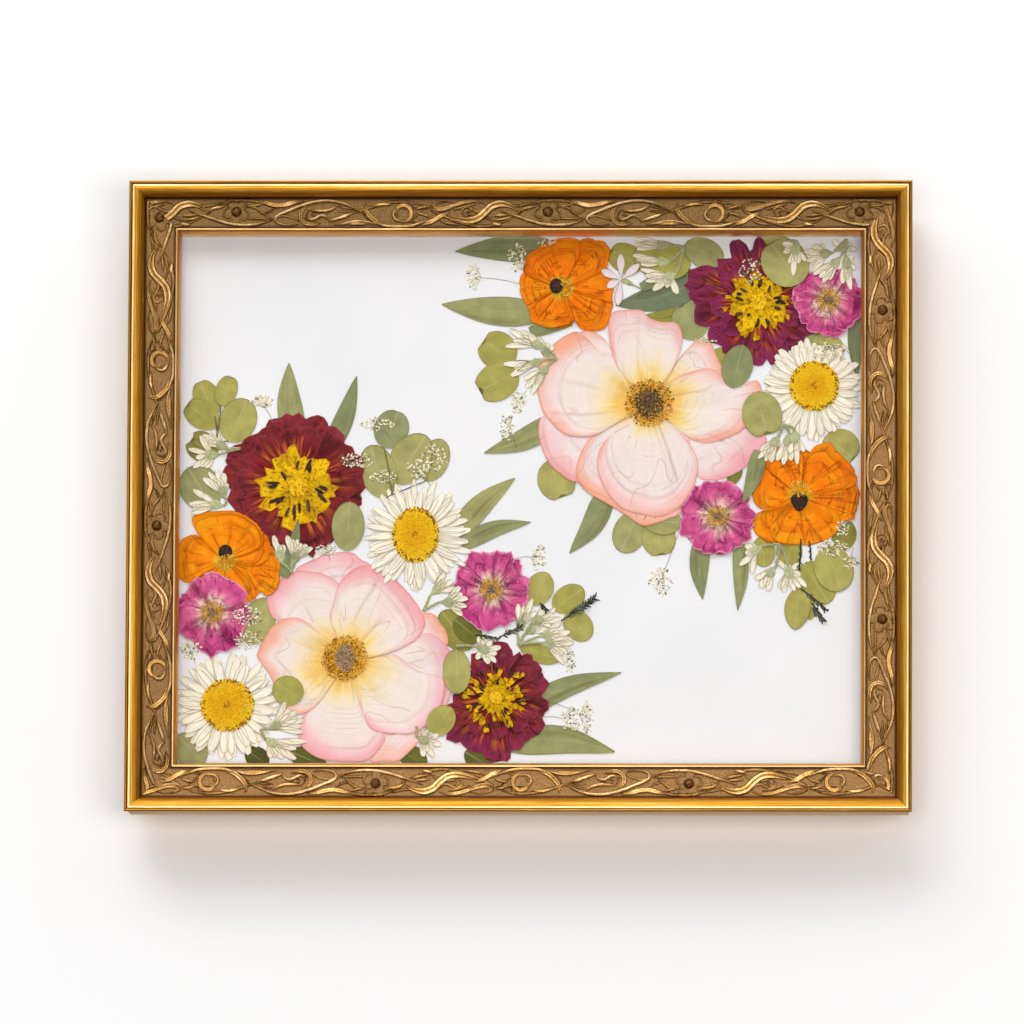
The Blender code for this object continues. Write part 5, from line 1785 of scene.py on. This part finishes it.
rayLook = {"across": 4, "along": 9, "pleats": 1.0, "depth": 0.12, "curl": 0.22, "limp": 0.8, "teeth": 0.035,
           "thick": 0.12}
discAngle = 137.508          # degrees from one grain of the disc to the next
discGrains = 640
discLimit = 8.2              # so that the disc stays under the glass
rayWidths = [0.45, 0.62, 0.80, 0.93, 1.0, 1.0, 0.94, 0.80, 0.42]
daisies = {
    "daisy_right": {"middle": (812, 391), "disc": (814, 387), "discSize": (12.4, 12.6), "reach": 26.0,
                    "rays": (34, 30), "width": 4.6, "shaggy": 0.07},
    "daisy_left": {"middle": (229, 707), "disc": (229, 706), "discSize": (13.4, 13.2), "reach": 27.0,
                   "rays": (32, 28), "width": 5.2, "shaggy": 0.06},
    "daisy_middle": {"middle": (416, 537), "disc": (416, 536), "discSize": (11.6, 14.0), "reach": 28.5,
                     "rays": (40, 36), "width": 3.8, "shaggy": 0.12},
}


def buildDaisy(flower, seed):
    chance = random.Random(seed)
    bm = startSpecimen()
    middle, disc = spot(flower["middle"]), spot(flower["disc"])
    waiting = []
    for layer, count in enumerate(flower["rays"]):
        for number in range(count):
            direction = (number + 0.5 * layer) * 360 / count + chance.uniform(-4, 4)
            reach = flower["reach"] * (1 - 0.08 * layer) * chance.uniform(1 - flower["shaggy"] * 1.6, 1.03)
            bend = chance.uniform(-1.4, 1.4) * (1 + 8 * flower["shaggy"])
            side = toward(direction + 90)
            spine = [disc + toward(direction, 8.0),
                     middle + toward(direction, reach * 0.6) + side * bend * 0.3,
                     middle + toward(direction, reach) + side * bend]
            width = flower["width"] * chance.uniform(0.8, 1.12)
            addBlade(bm, spine, [w * width for w in rayWidths], rayLook, chance, waiting=waiting)
            if number % 2 == 0:
                settle(waiting[:-1])
        settle(waiting)
    markNew(bm, 0)
    wide, tall = flower["discSize"]
    feet = [disc + toward(45 * step, 9.0) for step in range(8)]
    floor = min(sum(groundAt(foot.x, foot.y, 1.0) for foot in feet) / 8, discLimit)
    for number in range(discGrains):
        part = math.sqrt(number / discGrains)
        out = toward(number * discAngle, part)
        x, y = disc.x + out.x * wide, disc.y + out.y * tall
        size = 0.38 + 0.22 * part
        tone = chance.uniform(0.4, 1.0)
        if part > 0.84 and chance.random() < 0.45 or part < 0.14 and chance.random() < 0.5:
            tone = chance.uniform(0.0, 0.3)
        high = max(min(groundAt(x, y, 1.0), discLimit), floor - 0.1) + 0.4 * (1 - part ** 3)
        addBead(bm, (x, y, high), (size, size, 0.45), tone)
    bed = bmesh.ops.create_uvsphere(bm, u_segments=32, v_segments=8, radius=1.0)["verts"]
    bmesh.ops.transform(bm, verts=bed, matrix=Matrix.Translation((disc.x, disc.y, floor - 0.5))
                        @ Matrix.Diagonal((wide * 0.97, tall * 0.97, 0.75, 1)))
    layer = bm.verts.layers.float["tone"]
    for vert in bed:
        vert[layer] = 0.3
    markNew(bm, 1)
    return bm


print("daisies")
for index, (node, flower) in enumerate(daisies.items()):
    press(node, buildDaisy(flower, 490 + index), ["daisy", "disc"])


print("leaves on top")
for index, (node, leaf) in enumerate(overLeaves.items()):
    bm = startSpecimen()
    addRoundLeaf(bm, *leaf, random.Random(520 + index))
    press(node, bm, ["leaf"])
bm = startSpecimen()
for index, leaf in enumerate(looseOver):
    addRoundLeaf(bm, *leaf, random.Random(540 + index))
addLance(bm, (743, 505), (760, 452), 8.5, 1.0, 0.82, random.Random(550))
addLance(bm, (299, 521), (284, 578), 7.0, -1.0, 0.86, random.Random(551))
makePiece("loose_leaves_on_top", bm, [skins["leaf"]])


# White clusters: a stalk, then for each floret its calyx and the tips of its petals, in photo pixels

floretLook = {"across": 4, "along": 8, "pleats": 1.2, "depth": 0.10, "curl": 0.28, "limp": 0.6,
              "thick": 0.12, "teeth": 0.04}
calyxLook = {"across": 8, "along": 10, "pleats": 1.6, "depth": 0.12, "curl": -0.45, "limp": 0.6,
             "thick": 0.14, "creases": 3, "creaseWidth": 0.08}
whiteClusters = [
    ((240, 450), [((222, 447), [(202, 436), (212, 431), (228, 453), (206, 444)]),
                  ((212, 456), [(188, 450), (193, 469), (205, 469), (200, 437)])]),
    ((226, 505), [((217, 506), [(189, 505), (191, 515), (193, 491), (202, 495)]),
                  ((223, 494), [(216, 470), (203, 479), (208, 473), (224, 474), (228, 485)])]),
    ((292, 574), [((281, 558), [(274, 537), (284, 546), (277, 545)]),
                  ((295, 560), [(287, 537), (298, 541), (307, 546), (313, 549), (303, 553)])]),
    ((262, 731), [((276, 727), [(287, 703), (299, 712), (306, 721), (305, 733)]),
                  ((272, 742), [(272, 758), (285, 759), (298, 760), (308, 742), (292, 748)])]),
    ((418, 727), [((424, 740), [(425, 757), (436, 757), (443, 745), (440, 735), (430, 731)])]),
    ((424, 612), [((436, 592), [(445, 573), (454, 581), (440, 578), (459, 590)]),
                  ((447, 603), [(461, 588), (469, 600), (463, 617), (468, 608)])]),
    ((457, 647), [((484, 650), [(480, 637), (487, 636), (502, 648), (497, 664), (477, 660), (490, 665)])]),
    ((556, 360), [((538, 346), [(509, 330), (504, 347), (520, 331), (512, 341)]),
                  ((546, 354), [(528, 334), (552, 346), (538, 338)]),
                  ((538, 363), [(503, 365), (510, 377), (516, 371)]),
                  ((545, 370), [(523, 380), (531, 395), (536, 388), (525, 389)])]),
    ((683, 248), [((663, 246), [(633, 246), (634, 240), (636, 250)]),
                  ((663, 262), [(632, 256), (640, 265), (636, 260)]),
                  ((670, 277), [(640, 270), (645, 282), (652, 291), (677, 295), (648, 275)])]),
    ((785, 242), [((795, 249), [(782, 244), (783, 254), (793, 277), (806, 262), (789, 251)])]),
    ((846, 240), [((826, 254), [(803, 252), (806, 262), (812, 273), (820, 243), (811, 246)]),
                  ((836, 262), [(813, 276), (822, 284), (829, 281), (818, 270)]),
                  ((846, 262), [(852, 256), (850, 291), (842, 285), (855, 270), (845, 282)]),
                  ((842, 248), [(832, 241), (851, 243), (856, 250)])]),
    ((783, 426), [((776, 441), [(758, 460), (765, 463), (771, 464), (760, 452)]),
                  ((788, 440), [(783, 466), (791, 462), (777, 462)]),
                  ((795, 437), [(797, 466), (804, 453), (790, 455)])]),
    ((780, 546), [((757, 551), [(740, 566), (745, 546), (752, 575), (748, 556), (750, 545)]),
                  ((772, 572), [(760, 589), (768, 592), (755, 580), (765, 575)]),
                  ((789, 572), [(775, 561), (800, 565), (807, 588), (795, 592), (784, 593), (779, 589)])]),
    ((519, 646), [((521, 627), [(519, 605), (533, 600), (531, 614), (538, 612)]),
                  ((538, 622), [(556, 609), (563, 619), (546, 607), (552, 627)]),
                  ((546, 636), [(562, 622), (571, 633), (564, 640)]),
                  ((548, 645), [(575, 643), (566, 665), (572, 651), (569, 638)]),
                  ((530, 632), [(541, 617), (545, 622), (548, 630)])]),
]
starFlower = {"middle": (620, 280), "stalk": (642, 290),
              "tips": [(620, 254), (639, 265), (600, 271), (617, 307), (606, 288)]}


def addFloret(bm, calyx, tips, chance, waiting, tone):
    calyx = spot(calyx)
    tips = [spot(tip) for tip in tips]
    between = [a.lerp(b, 0.5).lerp(calyx, chance.uniform(0.05, 0.3)) for a, b in zip(tips, tips[1:])]
    for tip in between + tips:
        side = Vector((calyx.y - tip.y, tip.x - calyx.x)).normalized()
        start = calyx.lerp(tip, 0.12)
        spine = [start, start.lerp(tip, 0.5) + side * chance.uniform(-0.4, 0.4), tip]
        width = chance.uniform(2.8, 3.9)
        addBlade(bm, spine, [0.6 * width, 0.8 * width, 0.95 * width, width, 0.92 * width, 0.4 * width],
                 floretLook, chance, tone, waiting)
    settle(waiting)


def addCalyx(bm, foot, calyx, tips, chance):
    calyx, foot = spot(calyx), spot(foot)
    heading = sum((spot(tip) - calyx for tip in tips), Vector((0, 0))).normalized()
    back, front = calyx - heading * 3.4, calyx + heading * 3.4
    addBlade(bm, [back, calyx, front], [1.4, 2.8, 4.2, 5.0, 4.6, 2.2], calyxLook, chance)
    addStem(bm, [foot, foot.lerp(back, 0.5) + Vector((0.3, 0.4)), back], 1.5, 0.6, 4)


print("white clusters")
bm = startSpecimen()
chance = random.Random(600)
waiting = []
for foot, florets in whiteClusters:
    for calyx, tips in florets:
        addFloret(bm, calyx, tips, chance, waiting, chance.uniform(0.0, 0.75))
markNew(bm, 0)
for foot, florets in whiteClusters:
    for calyx, tips in florets:
        addCalyx(bm, foot, calyx, tips, chance)
markNew(bm, 1)
makePiece("white_clusters", bm, [skins["white"], skins["calyx"]])

bm = startSpecimen()
middle = spot(starFlower["middle"])
for tip in starFlower["tips"]:
    tip = spot(tip)
    addBlade(bm, [middle.lerp(tip, 0.08), middle.lerp(tip, 0.55), tip],
             [0.9, 1.6, 3.0, 4.2, 4.4, 3.4, 0.5], floretLook, chance, 0.97, waiting)
settle(waiting)
markNew(bm, 0)
stalk = spot(starFlower["stalk"])
addBlade(bm, [middle, middle.lerp(stalk, 0.3), middle.lerp(stalk, 0.6)], [1.5, 3.4, 3.2, 1.2],
         calyxLook, chance)
addStem(bm, [middle.lerp(stalk, 0.5), middle.lerp(stalk, 0.8), stalk], 0.8, 0.6, 3)
markNew(bm, 1)
makePiece("pink_star_flower", bm, [skins["white"], skins["calyx"]])


# Lace florets: middle, half width and half height, end of the stalk, number of grains, in photo pixels

laceHeads = [
    ((261, 402), (11, 6), (272, 424), 42), ((377, 425), (17, 6), (390, 440), 48),
    ((357, 462), (16, 8), (338, 468), 46), ((434, 459), (13, 13), (426, 482), 56),
    ((418, 470), (11, 10), (430, 487), 40), ((384, 478), (14, 6), (394, 492), 42),
    ((472, 277), (7, 14), (520, 285), 38), ((507, 427), (7, 15), (516, 448), 42),
    ((518, 403), (8, 12), (526, 392), 38), ((516, 258), (9, 14), (532, 270), 52),
    ((546, 243), (9, 4), (556, 248), 18), ((750, 272), (11, 14), (759, 262), 40),
    ((829, 352), (20, 9), (822, 340), 66), ((705, 341), (10, 3), (716, 344), 14),
    ((661, 582), (11, 14), (678, 536), 52), ((539, 557), (7, 13), (516, 560), 38),
    ((833, 549), (16, 8), (842, 530), 60), ((843, 530), (7, 7), (849, 520), 30),
    ((850, 563), (8, 6), (853, 548), 28), ((248, 617), (15, 10), (262, 625), 56),
    ((249, 641), (13, 9), (262, 632), 44), ((191, 651), (11, 9), (196, 664), 48),
    ((327, 551), (10, 6), (330, 562), 34), ((571, 661), (5, 12), (566, 648), 30),
    ((572, 719), (10, 13), (540, 718), 46), ((588, 717), (6, 17), (548, 702), 44),
]


def addLace(bm, middle, size, foot, grains, chance, stalks):
    middle, foot = spot(middle), spot(foot)
    wide, tall = size[0] / 2, size[1] / 2
    node = middle.lerp(foot, min(0.5, 4.0 / (foot - middle).length))
    stalks.append(([foot, foot.lerp(node, 0.5) + Vector((0.3, 0.8)), node], 0.28, 0.5))
    for number in range(grains):
        out = toward(number * goldenAngle + chance.uniform(-30, 30), math.sqrt((number + 1) / grains))
        place = Vector((middle.x + out.x * wide, middle.y + out.y * tall))
        if number % 4 == 0:
            stalks.append(([node, node.lerp(place, 0.6), place], 0.16, chance.uniform(0.5, 0.9)))
        low = groundAt(place.x, place.y)
        for _ in range(2):
            size = chance.uniform(0.40, 0.70)
            shift = Vector((chance.uniform(-0.6, 0.6), chance.uniform(-0.6, 0.6)))
            addBead(bm, (place.x + shift.x, place.y + shift.y, min(low + 0.2, pile["limit"])),
                    (size, size * chance.uniform(0.6, 1.0), 0.25),
                    chance.choice((0.1, 0.4, 0.55, 0.7, 0.9, 1.0)))


print("lace florets")
bm = startSpecimen()
stalks = []
for index, head in enumerate(laceHeads):
    addLace(bm, *head, random.Random(620 + index), stalks)
markNew(bm, 0)
for points, thickness, tone in stalks:
    addStem(bm, points, thickness, tone, 3)
markNew(bm, 1)
makePiece("lace_florets", bm, [skins["lace"], skins["stalk"]], crease=60)


# Dark sprigs: stalk from foot to tip with short needles

sprigs = [
    ((562, 622), (596, 599), 26, 3.4), ((570, 615), (587, 606), 14, 3.0), ((801, 590), (828, 612), 12, 2.6),
    ((812, 604), (823, 622), 16, 3.0), ((801, 540), (799, 572), 8, 2.0), ((809, 542), (811, 562), 6, 1.4),
    ((540, 604), (548, 612), 8, 2.4), ((500, 638), (522, 628), 14, 2.8), ((476, 636), (500, 640), 10, 2.4),
]
needleLook = {"across": 2, "along": 4, "pleats": 0.5, "depth": 0.03, "curl": -0.15, "thick": 0.2,
              "limp": 0.5}


def addSprig(bm, foot, tip, needles, length, chance):
    foot, tip = spot(foot), spot(tip)
    addStem(bm, [foot, foot.lerp(tip, 0.5) + Vector((0.4, 0.5)), tip], 0.8, 0.2, 5)
    heading = math.degrees(math.atan2(tip.y - foot.y, tip.x - foot.x))
    for number in range(needles):
        start = foot.lerp(tip, 0.2 + 0.8 * number / needles)
        turn = heading + (35 if number % 2 else -35) + chance.uniform(-18, 18)
        end = start + toward(turn, length * chance.uniform(0.6, 1.1))
        addBlade(bm, [start, (start + end) / 2, end], [0.4, 0.9, 0.9, 0.2], needleLook, chance)


print("dark sprigs")
bm = startSpecimen()
for index, sprig in enumerate(sprigs):
    addSprig(bm, *sprig, random.Random(700 + index))
makePiece("dark_sprigs", bm, [skins["sprig"]])
